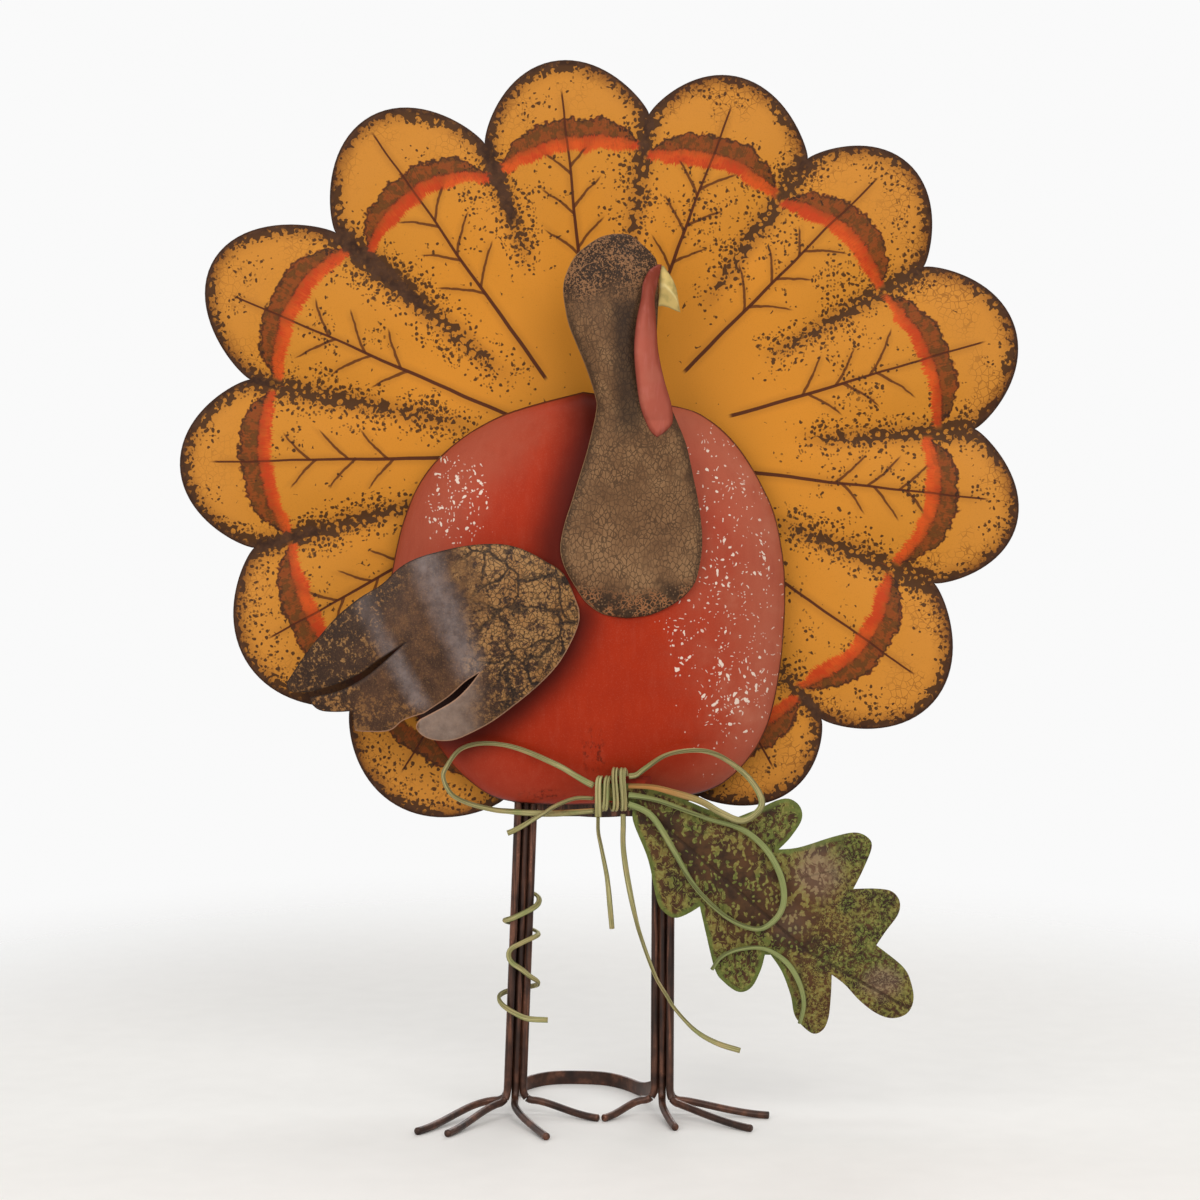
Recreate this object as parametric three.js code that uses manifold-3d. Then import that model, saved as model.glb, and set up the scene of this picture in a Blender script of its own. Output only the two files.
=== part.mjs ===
// Standing harvest turkey of painted sheet metal: a scalloped tail fan, a domed body, head, beak,
// wattle and wing in front of it, two legs of bent rod, an oak leaf and a raffia bow.
// Millimetres, +Z up, the front faces -Y. Depths are given forwards from the plane of the legs.
import * as THREE from 'three';
import { mergeVertices } from 'three/addons/utils/BufferGeometryUtils.js';
import Module from 'manifold-3d';

const wasm = await Module();
wasm.setup();

// Stock and fits
const sheetWall = 1;
const plateWall = 2.4;
const seatGap = 0.3;
const cutOverrun = 1;
const rodDiameter = 6.35;

// Tail fan
const fanReach = 357;
const fanHeight = 573;
const fanPuff = 7;
const fanFlange = 4;
const fanLobeCurve = 0.8;
const fanStepsPerLobe = 8;
const fanRingShares = [0, 0.42, 0.6, 0.78, 0.92, 1];
const fanPuffRiseShare = 0.3;
const fanPuffStartShares = [
  1, 0.87, 0.5, 0.42, 0.42, 0.42, 0.42,
  0.42, 0.42, 0.42, 0.42, 0.5, 0.87,
];
const fanNotchDegrees = [
  -105.5, -73.7, -50, -21, 4, 30.2, 55,
  81.8, 110.3, 139.9, 167.8, 195, 225,
];
const fanNotchShares = [
  0.871, 0.868, 0.842, 0.875, 0.918, 0.915, 0.885,
  0.842, 0.812, 0.845, 0.875, 0.875, 0.862,
];
const fanTipShares = [
  0.885, 0.945, 1.012, 1.03, 1.058, 1.035, 0.983,
  0.967, 0.998, 1.055, 1.024, 0.998, 0.989,
];

// Body dome
const bodyWidth = 344;
const bodyHeight = 357;
const bodyLeft = -183.6;
const bodyFoot = 270.7;
const bodyDome = 48;
const bodySteps = 48;
const bodyRingShares = [0, 0.2, 0.38, 0.54, 0.68, 0.8, 0.89, 0.95, 0.985, 1];
const bodyOutlineShares = [
  [0.491, 1], [0.72, 0.966], [0.809, 0.932], [0.885, 0.862], [0.947, 0.762], [0.98, 0.677], [1, 0.53],
  [0.987, 0.328], [0.947, 0.172], [0.865, 0.067], [0.761, 0.022], [0.534, 0], [0.307, 0.007], [0.2, 0.06],
  [0.116, 0.153], [0.05, 0.252], [0.008, 0.37], [0, 0.495], [0.043, 0.699], [0.123, 0.835], [0.277, 0.939],
];

// Head, neck and bib in one sheet
const neckWidth = 120.5;
const neckHeight = 325;
const neckLeft = -33.7;
const neckFoot = 434;
const neckStandOff = 1;
const neckLean = 12;
const neckCrown = 12;
const bibCrown = 6;
const neckRows = 26;
const neckColumns = 8;
const neckLeftShares = [
  [0.469, 0], [0.308, 0.01], [0.189, 0.039], [0.112, 0.078], [0.028, 0.135], [0, 0.184], [0.028, 0.244],
  [0.084, 0.309], [0.14, 0.377], [0.196, 0.447], [0.252, 0.54], [0.245, 0.579], [0.182, 0.652],
  [0.119, 0.709], [0.063, 0.761], [0.035, 0.808], [0.021, 0.857], [0.042, 0.896], [0.098, 0.938],
  [0.168, 0.964], [0.273, 0.99], [0.371, 1],
];
const neckRightShares = [
  [0.469, 0], [0.643, 0.01], [0.825, 0.044], [0.937, 0.086], [0.979, 0.135], [1, 0.203], [0.979, 0.286],
  [0.937, 0.366], [0.888, 0.449], [0.825, 0.509], [0.755, 0.569], [0.699, 0.634], [0.678, 0.712],
  [0.685, 0.803], [0.692, 0.868], [0.678, 0.927], [0.643, 0.948], [0.58, 0.971], [0.49, 0.997], [0.371, 1],
];

// Wattle, hung from the brow in front of the neck
const wattleWidth = 32.7;
const wattleHeight = 145.8;
const wattleLeft = 28.5;
const wattleFoot = 587.3;
const wattleStandOff = 10;
const wattleCrown = 4;
const wattleRows = 18;
const wattleColumns = 4;
const wattleRowShares = [
  [0, 0.59, 0.6], [0.03, 0.44, 0.8], [0.086, 0.308, 1], [0.184, 0.154, 0.974], [0.34, 0.05, 0.77],
  [0.49, 0, 0.63], [0.6, 0.026, 0.59], [0.69, 0.077, 0.564], [0.8, 0.18, 0.54], [0.885, 0.23, 0.615],
  [0.96, 0.385, 0.69], [1, 0.615, 0.718],
];

// Beak, a folded tip welded to the edge of the head
const beakLength = 19;
const beakDrop = 42;
const beakFoot = 692.7;
const beakFold = 6;
const beakColumns = 4;
const beakRows = 6;
const beakTopShares = [[0, 0.95], [0.26, 0.93], [0.65, 0.66], [0.83, 0.46], [1, 0]];
const beakUnderShares = [[0, 0.12], [0.17, 0.13], [0.45, 0.1], [0.8, 0.03], [1, 0]];

// Wing
const wingWidth = 250;
const wingHeight = 165;
const wingLeft = -267;
const wingFoot = 332.2;
const wingTipDepth = 52;
const wingRoll = 32;
const wingCrestShare = 0.55;
const wingCrown = 6;
const wingCell = 12;
const wingStretchShares = [
  [[0.997, 0.668], [0.949, 0.837], [0.882, 0.913], [0.805, 0.974], [0.731, 1], [0.633, 0.995], [0.542, 0.969],
    [0.451, 0.929], [0.391, 0.878], [0.333, 0.796], [0.256, 0.724], [0.182, 0.633], [0.121, 0.531],
    [0.067, 0.429], [0, 0.281]],
  [[0, 0.281], [0.017, 0.235], [0.091, 0.24]],
  [[0.091, 0.24], [0.182, 0.286], [0.256, 0.337], [0.316, 0.403], [0.414, 0.5]],
  [[0.414, 0.5], [0.316, 0.367], [0.256, 0.301], [0.182, 0.245], [0.084, 0.209]],
  [[0.084, 0.209], [0.091, 0.173], [0.121, 0.143], [0.175, 0.138], [0.232, 0.145]],
  [[0.232, 0.145], [0.239, 0.051], [0.256, 0.041], [0.333, 0.041], [0.37, 0.056], [0.407, 0.102],
    [0.475, 0.138]],
  [[0.475, 0.138], [0.559, 0.224], [0.616, 0.301], [0.663, 0.347]],
  [[0.663, 0.347], [0.62, 0.265], [0.566, 0.194], [0.461, 0.107]],
  [[0.461, 0.107], [0.448, 0.071], [0.468, 0.026], [0.512, 0], [0.572, 0], [0.633, 0.036], [0.707, 0.097],
    [0.781, 0.179], [0.859, 0.276], [0.926, 0.383], [0.97, 0.495], [0.997, 0.597], [0.997, 0.668]],
];

// Oak leaf, its tab bound on the bow bracket
const leafWidth = 237;
const leafHeight = 212.4;
const leafLeft = 29.7;
const leafFoot = 80.6;
const leafWave = 3;
const leafFold = 5;
const leafCell = 14;
const leafTabShare = 0.125;
const leafMidribShares = [[0, 0.93], [0.62, 0.33], [0.98, 0.1]];
const leafStretchShares = [
  [[0, 0.924], [-0.007, 0.852], [0.047, 0.696], [0.079, 0.532], [0.108, 0.48], [0.147, 0.46], [0.194, 0.48],
    [0.233, 0.508]],
  [[0.233, 0.508], [0.254, 0.404], [0.287, 0.256], [0.319, 0.204], [0.373, 0.164], [0.419, 0.184],
    [0.452, 0.256], [0.466, 0.316]],
  [[0.487, 0.316], [0.527, 0.248], [0.559, 0.152], [0.577, 0.064], [0.634, 0], [0.674, 0.012], [0.695, 0.064],
    [0.703, 0.152], [0.706, 0.236]],
  [[0.706, 0.236], [0.753, 0.196], [0.806, 0.132], [0.867, 0.08], [0.925, 0.06], [0.978, 0.08], [1, 0.132],
    [0.993, 0.196], [0.964, 0.264], [0.867, 0.352]],
  [[0.867, 0.352], [0.9, 0.404], [0.946, 0.472], [0.953, 0.524], [0.925, 0.564], [0.867, 0.576],
    [0.785, 0.576]],
  [[0.785, 0.576], [0.821, 0.652], [0.853, 0.74], [0.839, 0.78], [0.792, 0.8], [0.713, 0.784], [0.591, 0.744],
    [0.516, 0.736]],
  [[0.516, 0.736], [0.559, 0.784], [0.599, 0.852], [0.595, 0.904], [0.559, 0.936], [0.513, 0.932],
    [0.448, 0.9], [0.366, 0.864]],
  [[0.366, 0.864], [0.301, 0.88], [0.186, 0.932], [0.09, 0.976], [0.018, 1]],
];

// Legs: three rods side by side and one in front, each bent out into a toe
const legHipHeight = 395;
const legAnkleHeight = 40;
const leftLegHip = -59.6;
const leftLegAnkle = -72.9;
const rightLegHip = 55.8;
const rightLegAnkle = 54;
const ankleBend = 24;
const toeHeel = 12;
const toeTurn = 11;
const ankleSteps = 5;
const toeSteps = 6;
const rodSides = 8;
const toeReaches = {
  left: { outer: [-80, 78], front: [-54, 86], middle: [30, 97], inner: [73, 29] },
  right: { outer: [92, 18], front: [74, 67], middle: [10, 63], inner: [-51, 29] },
};

// Rear brace of flat bar on edge
const braceReach = 120;
const braceBar = 3;
const braceBarHeight = 12;
const braceRise = 16;
const braceLeftReach = 88;
const braceCrown = 20;

// Cross bar under the body and the bracket that carries the bow and the leaf
const crossbarWall = 3.2;
const crossbarHeight = 25;
const crossbarFoot = 259;
const bowDepth = 50.2;
const bowPlateHeight = 22;
const bowHeight = 288;
const bowReach = 44;
const bowShelfWidth = 13.5;
const bowShelfHeight = 262;

// Hip plates between rods and fan, with studs through the fan
const hipPlateWidth = 56;
const hipPlateHeight = 70;
const hipHeight = 351;
const studDiameter = 6;
const studReach = 13;
const studSpread = 19;
const studRise = 21;
const boreClearance = 0.5;
const nutBodyDiameter = 11;
const nutBodyLength = 7;
const nutEarSpan = 26;
const nutEarHeight = 11;
const nutEarWall = 2;

// Straps inside the dome
const strapHeight = 16;
const lowerStrapHeight = 326;
const upperStrapHeight = 380;

// Strut from the fan to the back of the head
const strutWidth = 12;
const strutWall = 3;
const strutHeight = 664;
const strutCentre = 11;
const strutTab = 20;
const strutFoot = 24;

// Small studs, nuts and spacer sleeves that hold neck and wing to the dome
const pinDiameter = 5;
const pinReach = 7;
const hexNutAcross = 8;
const hexNutLength = 4;
const spacerDiameter = 9;
const neckPinCentre = 24;
const neckPinHeights = [458, 506];
const wingPinShares = [[0.8, 0.6], [0.6, 0.5]];

// Raffia bow: the winding, and each free strand by its own points [across, forwards, up]
const raffiaKnotDiameter = 6;
const raffiaKnotPitch = 7.2;
const raffiaKnotLoops = 4;
const raffiaKnotStart = -1.7;
const raffiaKnotDepth = 5.8;
const raffiaKnotRise = 17;
const raffiaLoopDiameter = 6;
const raffiaTailDiameter = 5;
const raffiaTailStep = 13;
const raffiaSides = 8;
const leftLoopRoute = [
  [-5.5, 52, 291.4], [-12, 52.5, 294.8], [-21.3, 52.5, 300.2], [-37.5, 52.5, 309.5], [-70.7, 50.5, 323],
  [-98, 48.5, 327], [-118.6, 45.5, 321.8], [-130.5, 42, 307.2], [-134, 38.5, 297], [-127.5, 35, 282.5],
  [-113, 30.5, 273.8], [-92, 24, 267.5], [-78, 20, 265.5], [-61.5, 18, 264], [-47, 21.5, 264],
  [-34.4, 28, 265], [-19, 43, 267.5], [-5.5, 52, 269.5],
];
const rightLoopRoute = [
  [24.7, 57.5, 299.6], [31, 57.8, 300.6], [38, 58, 306], [57, 56, 318], [81.5, 54.5, 321.5],
  [100, 54.5, 317.5], [118.7, 56, 305.5], [130.5, 59, 293], [137, 63, 279], [132, 66, 269.5],
  [119, 67, 263.5], [101.5, 67, 270.4], [84.6, 66, 279.7], [59.3, 63, 287.3], [42, 60.5, 291],
  [24.4, 57.5, 291.4],
];
const lowLoopRoute = [
  [24.2, 57.5, 283.8], [36, 58, 282.3], [51, 59, 279], [73.8, 59.5, 270.5], [95, 60, 263],
  [114.5, 60, 257.5], [129, 60.5, 249.5], [143.3, 61, 235], [153.5, 61.5, 214.6], [156, 61.5, 196],
  [151, 61.5, 181.6], [138, 61, 171.4], [124.6, 61, 172.3], [108.5, 60.5, 179.9], [91.6, 60.5, 194.3],
  [77.2, 60, 211.2], [62.7, 59.5, 236.7], [47.5, 59, 262], [38, 58.5, 271], [24.2, 57.5, 276.4],
];
const longTailRoute = [
  [19.6, 54, 267.3], [19.6, 53.5, 258], [19.6, 50, 240], [22.2, 47, 219.5], [26.5, 44, 195.5],
  [31.6, 41, 172.5], [35.9, 39, 158], [42, 36, 140], [48.8, 34, 123], [56.6, 33, 110], [65, 33, 97],
  [82, 34, 79], [99.4, 36, 69], [120, 38, 63],
];
const shortTailRoute = [
  [-1.7, 56.6, 264.6], [-1.5, 56, 252], [1.6, 51, 236], [6, 45, 212.5], [8.5, 41, 187], [10.2, 39, 167.5],
];
const leftTailRoute = [
  [-5.5, 52, 280.5], [-21, 47.5, 280], [-38, 38, 272.5], [-47, 31, 266], [-57, 22, 259], [-66, 16.2, 253],
  [-74, 14.2, 248.5], [-80, 13.8, 246],
];
const legTailRoute = [
  [-64, -8, 194], [-54.5, -4.5, 189], [-53, 2, 185], [-56.5, 9.5, 181.5], [-66, 14.2, 177],
  [-76, 14.2, 172.5], [-82.5, 7.5, 169.5], [-81.5, -1, 167], [-76, -7.5, 164.5], [-66, -8.5, 161.5],
  [-56.5, -6, 158.5], [-53.5, 1, 157], [-57, 9.5, 155.5], [-67, 14.2, 151.5], [-77, 14.6, 146],
  [-79, 15, 140], [-76, 15.5, 134], [-68, 15, 128.5], [-60.5, 12.5, 122], [-54, 6, 116.5],
  [-54.5, -3, 112], [-62, -9, 109], [-73, -9.5, 107], [-83.5, -5, 105], [-88, 3, 102], [-84, 12, 97],
  [-74, 18, 91.5], [-62, 21, 87], [-45, 22, 86],
];
const leafStrandRoute = [
  [95, 57.6, 135.9], [103.4, 58.6, 146.9], [118.7, 59.1, 153.2], [139.9, 59.1, 153.7], [158.5, 58.6, 141.8],
  [169.6, 58.1, 123.1], [173, 57.6, 106], [169.6, 57.1, 90],
];

// Paints and finishes
const paints = {
  ochre: { color: 0xb9772c, roughness: 0.5, metalness: 0.4 },
  barnRed: { color: 0x9c3320, roughness: 0.45, metalness: 0.35 },
  crackleBrown: { color: 0x6b5140, roughness: 0.6, metalness: 0.3 },
  wattleRed: { color: 0xa9504a, roughness: 0.45, metalness: 0.3 },
  paleYellow: { color: 0xc6bd88, roughness: 0.5, metalness: 0.2 },
  wingBrown: { color: 0x4d3a26, roughness: 0.5, metalness: 0.4 },
  leafGreen: { color: 0x5d6436, roughness: 0.6, metalness: 0.2 },
  darkBronze: { color: 0x35241c, roughness: 0.35, metalness: 0.7 },
  zinc: { color: 0x9a9a98, roughness: 0.35, metalness: 1 },
  raffia: { color: 0x868a52, roughness: 0.8, metalness: 0 },
};

const rodRadius = rodDiameter / 2;
const rodPitch = rodDiameter + seatGap;
const figure = new THREE.Group();
const free = new THREE.Group();

// A closed solid from a geometry: positions only, shared corners merged, flat triangles dropped
function solidOf(geometry) {
  const bare = new THREE.BufferGeometry();
  bare.setAttribute('position', geometry.getAttribute('position').clone());
  if (geometry.index) bare.setIndex(geometry.index.clone());
  const merged = mergeVertices(bare, 1e-4);
  const corners = Array.from(merged.index.array);
  const kept = [];
  for (let i = 0; i < corners.length; i += 3) {
    const [a, b, c] = corners.slice(i, i + 3);
    if (a !== b && b !== c && a !== c) kept.push(a, b, c);
  }
  return new wasm.Manifold(new wasm.Mesh({
    numProp: 3,
    vertProperties: new Float32Array(merged.getAttribute('position').array),
    triVerts: new Uint32Array(kept),
  }));
}

function geometryOf(solid) {
  const { numProp, vertProperties, triVerts } = solid.getMesh();
  const corners = new Float32Array(vertProperties.length / numProp * 3);
  for (let i = 0; i < corners.length / 3; i += 1) {
    corners.set(vertProperties.subarray(i * numProp, i * numProp + 3), i * 3);
  }
  const geometry = new THREE.BufferGeometry();
  geometry.setAttribute('position', new THREE.BufferAttribute(corners, 3));
  geometry.setIndex(new THREE.BufferAttribute(new Uint32Array(triVerts), 1));
  return geometry;
}

function addPiece(name, solid, paint, group = figure) {
  const mesh = new THREE.Mesh(geometryOf(solid), new THREE.MeshStandardMaterial(paint));
  mesh.name = name;
  group.add(mesh);
}

const at = (across, forwards, up) => new THREE.Vector3(across, -forwards, up);
const ease = (t) => t * t * (3 - 2 * t);
const clamp = THREE.MathUtils.clamp;
const lerp = THREE.MathUtils.lerp;

// A box given by its lowest and highest corners, [across, forwards, up]
function block(low, high) {
  const size = high.map((value, i) => value - low[i]);
  const geometry = new THREE.BoxGeometry(...size);
  const middle = high.map((value, i) => (value + low[i]) / 2);
  geometry.translate(middle[0], -middle[1], middle[2]);
  return solidOf(geometry);
}

// A round bar along the depth, from one depth forwards to another
function barForwards(across, up, back, front, diameter, sides = 16) {
  const geometry = new THREE.CylinderGeometry(diameter / 2, diameter / 2, front - back, sides);
  geometry.translate(across, -(front + back) / 2, up);
  return solidOf(geometry);
}

// A skin between an outer and an inner grid of points, closed at its edges or round its columns
function skin(rows, columns, outerAt, innerAt, round = false) {
  const corners = [];
  const faces = [];
  const span = round ? columns : columns + 1;
  for (const surface of [outerAt, innerAt]) {
    for (let i = 0; i <= rows; i += 1) {
      for (let j = 0; j < span; j += 1) corners.push(...surface(i, j).toArray());
    }
  }
  const inner = (rows + 1) * span;
  const index = (i, j) => i * span + (round ? j % columns : j);
  const quad = (a, b, c, d) => faces.push(a, b, c, a, c, d);
  for (let i = 0; i < rows; i += 1) {
    for (let j = 0; j < columns; j += 1) {
      const [a, b, c, d] = [index(i, j), index(i, j + 1), index(i + 1, j + 1), index(i + 1, j)];
      quad(a, b, c, d);
      quad(inner + d, inner + c, inner + b, inner + a);
    }
  }
  for (let j = 0; j < columns; j += 1) {
    const [a, b] = [index(rows, j), index(rows, j + 1)];
    quad(b, inner + b, inner + a, a);
    if (!round) {
      const [c, d] = [index(0, j), index(0, j + 1)];
      quad(c, inner + c, inner + d, d);
    }
  }
  if (!round) {
    for (let i = 0; i < rows; i += 1) {
      const [a, b] = [index(i, 0), index(i + 1, 0)];
      quad(b, inner + b, inner + a, a);
      const [c, d] = [index(i, columns), index(i + 1, columns)];
      quad(c, inner + c, inner + d, d);
    }
  }
  const geometry = new THREE.BufferGeometry();
  geometry.setAttribute('position', new THREE.Float32BufferAttribute(corners, 3));
  geometry.setIndex(faces);
  const solid = solidOf(geometry);
  if (solid.volume() > 0) return solid;
  const turned = [];
  for (let i = 0; i < faces.length; i += 3) turned.push(faces[i], faces[i + 2], faces[i + 1]);
  geometry.setIndex(turned);
  return solidOf(geometry);
}

// A closed tube of flat-sided section through points, its first flat facing a given side. A level
// tube keeps a flat downwards wherever it runs out along the floor.
function tubeThrough(points, diameter, sides, facing, level = false) {
  const corners = [];
  const faces = [];
  const corner = diameter / 2 / Math.cos(Math.PI / sides);
  const side = facing.clone();
  const up = new THREE.Vector3(0, 0, 1);
  points.forEach((point, i) => {
    const before = points[Math.max(0, i - 1)];
    const after = points[Math.min(points.length - 1, i + 1)];
    const along = after.clone().sub(before).normalize();
    if (level && Math.abs(along.z) < Math.SQRT1_2) side.crossVectors(along, up);
    side.addScaledVector(along, -side.dot(along)).normalize();
    const other = along.clone().cross(side);
    for (let j = 0; j < sides; j += 1) {
      const angle = 2 * Math.PI * (j + 0.5) / sides;
      const place = point.clone().addScaledVector(side, corner * Math.cos(angle));
      corners.push(...place.addScaledVector(other, corner * Math.sin(angle)).toArray());
    }
  });
  for (let i = 0; i + 1 < points.length; i += 1) {
    for (let j = 0; j < sides; j += 1) {
      const [a, b] = [i * sides + j, i * sides + (j + 1) % sides];
      faces.push(a, b, b + sides, a, b + sides, a + sides);
    }
  }
  const last = (points.length - 1) * sides;
  for (let j = 1; j + 1 < sides; j += 1) {
    faces.push(0, j + 1, j, last, last + j, last + j + 1);
  }
  const geometry = new THREE.BufferGeometry();
  geometry.setAttribute('position', new THREE.Float32BufferAttribute(corners, 3));
  geometry.setIndex(faces);
  return solidOf(geometry);
}

// The outline that runs through stretches of shares, each a smooth curve between two corners
function outlineThrough(stretches, left, foot, width, height, steps) {
  const outline = [];
  for (const stretch of stretches) {
    const points = stretch.map(
      ([across, up]) => new THREE.Vector2(left + across * width, foot + up * height),
    );
    const count = Math.max(2, Math.round(points.length * steps));
    outline.push(...new THREE.SplineCurve(points).getPoints(count));
  }
  return outline.filter((point, i) => point.distanceTo(outline.at(i - 1)) > seatGap);
}

// A flat sheet cut to an outline, cross-cut into cells and then pressed to the depth of its face
function pressedSheet(outline, cell, wall, depthAt) {
  const low = new THREE.Vector2(Infinity, Infinity);
  const high = new THREE.Vector2(-Infinity, -Infinity);
  for (const point of outline) {
    low.min(point);
    high.max(point);
  }
  const size = high.clone().sub(low).addScalar(2 * cutOverrun);
  const cells = [Math.ceil(size.x / cell), 1, Math.ceil(size.y / cell)];
  const slab = new THREE.BoxGeometry(size.x, wall, size.y, ...cells);
  slab.translate((low.x + high.x) / 2, 0, (low.y + high.y) / 2);
  const cutter = new THREE.ExtrudeGeometry(new THREE.Shape(outline), {
    depth: wall + 2 * cutOverrun, bevelEnabled: false,
  });
  cutter.rotateX(Math.PI / 2);
  cutter.translate(0, wall / 2 + cutOverrun, 0);
  const sheet = geometryOf(solidOf(slab).intersect(solidOf(cutter)));
  const place = sheet.getAttribute('position');
  for (let i = 0; i < place.count; i += 1) {
    const face = -depthAt(place.getX(i), place.getZ(i));
    place.setY(i, place.getY(i) > 0 ? face + wall : face);
  }
  return solidOf(sheet);
}

// Highest and lowest depth of a face over a small round seat
function seatDepths(depthAt, across, up, radius) {
  const depths = [depthAt(across, up)];
  for (let i = 0; i < raffiaSides; i += 1) {
    const angle = 2 * Math.PI * i / raffiaSides;
    depths.push(depthAt(across + radius * Math.cos(angle), up + radius * Math.sin(angle)));
  }
  return [Math.min(...depths), Math.max(...depths)];
}

// Tail fan
const fanFront = -(rodRadius + plateWall + 2 * seatGap);
const fanBack = fanFront - sheetWall;

// Reach and puff of the lobe at an angle: a round bump between two open notches
function lobeAt(lobe, t) {
  const next = (lobe + 1) % fanNotchShares.length;
  const notch = lerp(fanNotchShares[lobe], fanNotchShares[next], t);
  const bump = Math.sin(Math.PI * t) ** fanLobeCurve;
  const reach = fanReach * (notch + (fanTipShares[lobe] - notch) * bump);
  return { reach, puff: Math.sin(Math.PI * t) ** 0.6 };
}

function fanPoint(ring, column, inset, drop) {
  const lobes = fanNotchDegrees.length;
  const lobe = Math.floor(column / fanStepsPerLobe) % lobes;
  const t = (1 - Math.cos(Math.PI * (column % fanStepsPerLobe) / fanStepsPerLobe)) / 2;
  const from = fanNotchDegrees[lobe];
  const to = lobe + 1 < lobes ? fanNotchDegrees[lobe + 1] : fanNotchDegrees[0] + 360;
  const angle = THREE.MathUtils.degToRad(lerp(from, to, t));
  const { reach, puff } = lobeAt(lobe, t);
  const share = fanRingShares[Math.min(ring, fanRingShares.length - 1)];
  const radius = share * (reach - inset);
  const swell = ease(clamp((share - fanPuffStartShares[lobe]) / fanPuffRiseShare, 0, 1));
  const lip = ring < fanRingShares.length ? 0 : fanFlange;
  const depth = fanFront + fanPuff * puff * swell - (lip || drop);
  return at(radius * Math.cos(angle), depth, fanHeight + radius * Math.sin(angle));
}

const hipCentres = { left: legAcross('left', hipHeight), right: legAcross('right', hipHeight) };
const hipStuds = [];
for (const side of ['left', 'right']) {
  hipStuds.push([side, 'lower', hipCentres[side] - studSpread, hipHeight - studRise]);
  hipStuds.push([side, 'upper', hipCentres[side] + studSpread, hipHeight + studRise]);
}
const strutStud = [strutCentre, strutHeight - strutFoot / 2];

function makeFan() {
  const columns = fanStepsPerLobe * fanNotchDegrees.length;
  const rings = fanRingShares.length;
  let fan = skin(
    rings,
    columns,
    (i, j) => fanPoint(i, j, 0, 0),
    (i, j) => fanPoint(i, j, sheetWall, sheetWall),
    true,
  );
  const holes = hipStuds.map(([, , across, up]) => [across, up]);
  for (const [across, up] of [...holes, strutStud]) {
    const bore = studDiameter + 2 * boreClearance;
    fan = fan.subtract(barForwards(across, up, fanBack - cutOverrun, fanFront + cutOverrun, bore));
  }
  addPiece('tail_fan', fan, paints.ochre);
}

// Body dome: a share of the way from the centre to the rim, and the height of the dome there
const bodyMiddle = new THREE.Vector2(bodyLeft + bodyWidth / 2, bodyFoot + bodyHeight / 2);
const bodyRimDepth = rodPitch + rodRadius + seatGap;
const bodyRim = new THREE.SplineCurve([...bodyOutlineShares, bodyOutlineShares[0]].map(
  ([across, up]) => new THREE.Vector2(bodyLeft + across * bodyWidth, bodyFoot + up * bodyHeight),
)).getPoints(bodySteps).slice(0, bodySteps);

const domeProfile = (share) => Math.max(0, 1 - share ** 2.6) ** 0.55;

function bodyPoint(ring, column, inset) {
  const out = bodyRim[column % bodySteps].clone().sub(bodyMiddle);
  const share = bodyRingShares[ring];
  out.multiplyScalar(share * (1 - inset / out.length()));
  const depth = bodyRimDepth + (bodyDome - inset) * domeProfile(share);
  return at(bodyMiddle.x + out.x, depth, bodyMiddle.y + out.y);
}

// How far a place lies from the centre of the body, as a share of the way to the rim
function bodyShareAt(across, up) {
  const place = new THREE.Vector2(across, up).sub(bodyMiddle);
  const reach = place.length();
  if (reach === 0) return 0;
  for (let i = 0; i < bodySteps; i += 1) {
    const a = bodyRim[i].clone().sub(bodyMiddle);
    const b = bodyRim[(i + 1) % bodySteps].clone().sub(bodyMiddle);
    const turn = a.cross(b);
    const fromA = a.cross(place) / turn;
    const fromB = place.cross(b) / turn;
    if (fromA >= 0 && fromB >= 0) return fromA + fromB;
  }
  return 1;
}

const bodyFaceAt = (across, up) => bodyRimDepth + bodyDome * domeProfile(bodyShareAt(across, up));
const bodyInnerAt = (across, up) => bodyFaceAt(across, up) - sheetWall;

// Depth of the wing's face: rolled about its crest, crowned from top to bottom
function wingFaceAt(across, up) {
  const along = (across - wingLeft) / wingWidth;
  const rise = (up - wingFoot) / wingHeight;
  const off = (along - wingCrestShare) / wingCrestShare;
  return wingTipDepth + wingRoll * (1 - off * off) - wingCrown * (2 * rise - 1) ** 2;
}

const wingPins = wingPinShares.map(
  ([along, rise]) => [wingLeft + along * wingWidth, wingFoot + rise * wingHeight],
);
const neckPins = neckPinHeights.map((up) => [neckPinCentre, up]);

function makeBody() {
  let body = skin(
    bodyRingShares.length - 1,
    bodySteps,
    (i, j) => bodyPoint(i, j, 0),
    (i, j) => bodyPoint(i, j, sheetWall),
    true,
  );
  for (const [across, up] of [...wingPins, ...neckPins]) {
    const bore = pinDiameter + 2 * boreClearance;
    body = body.subtract(barForwards(across, up, bodyRimDepth, bodyRimDepth + 2 * bodyDome, bore));
  }
  addPiece('body_shell', body, paints.barnRed);
}

// Points of one edge of the neck, from the bib to the crown
function neckEdge(shares) {
  const points = shares.map(
    ([across, up]) => new THREE.Vector2(neckLeft + across * neckWidth, neckFoot + up * neckHeight),
  );
  return new THREE.SplineCurve(points).getPoints(neckEdgeSamples);
}

function acrossAt(samples, up) {
  for (let i = 1; i < samples.length; i += 1) {
    const [a, b] = [samples[i - 1], samples[i]];
    if (up <= b.y) return lerp(a.x, b.x, clamp((up - a.y) / (b.y - a.y || 1), 0, 1));
  }
  return samples.at(-1).x;
}

// Head and neck: rows from the bib to the crown, crowned across, leaning forwards upwards
const neckEdgeSamples = 120;
const neckLeftEdge = neckEdge(neckLeftShares);
const neckRightEdge = neckEdge(neckRightShares);
const neckBaseDepth = bodyRimDepth + bodyDome + seatGap + sheetWall + neckStandOff;

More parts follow.
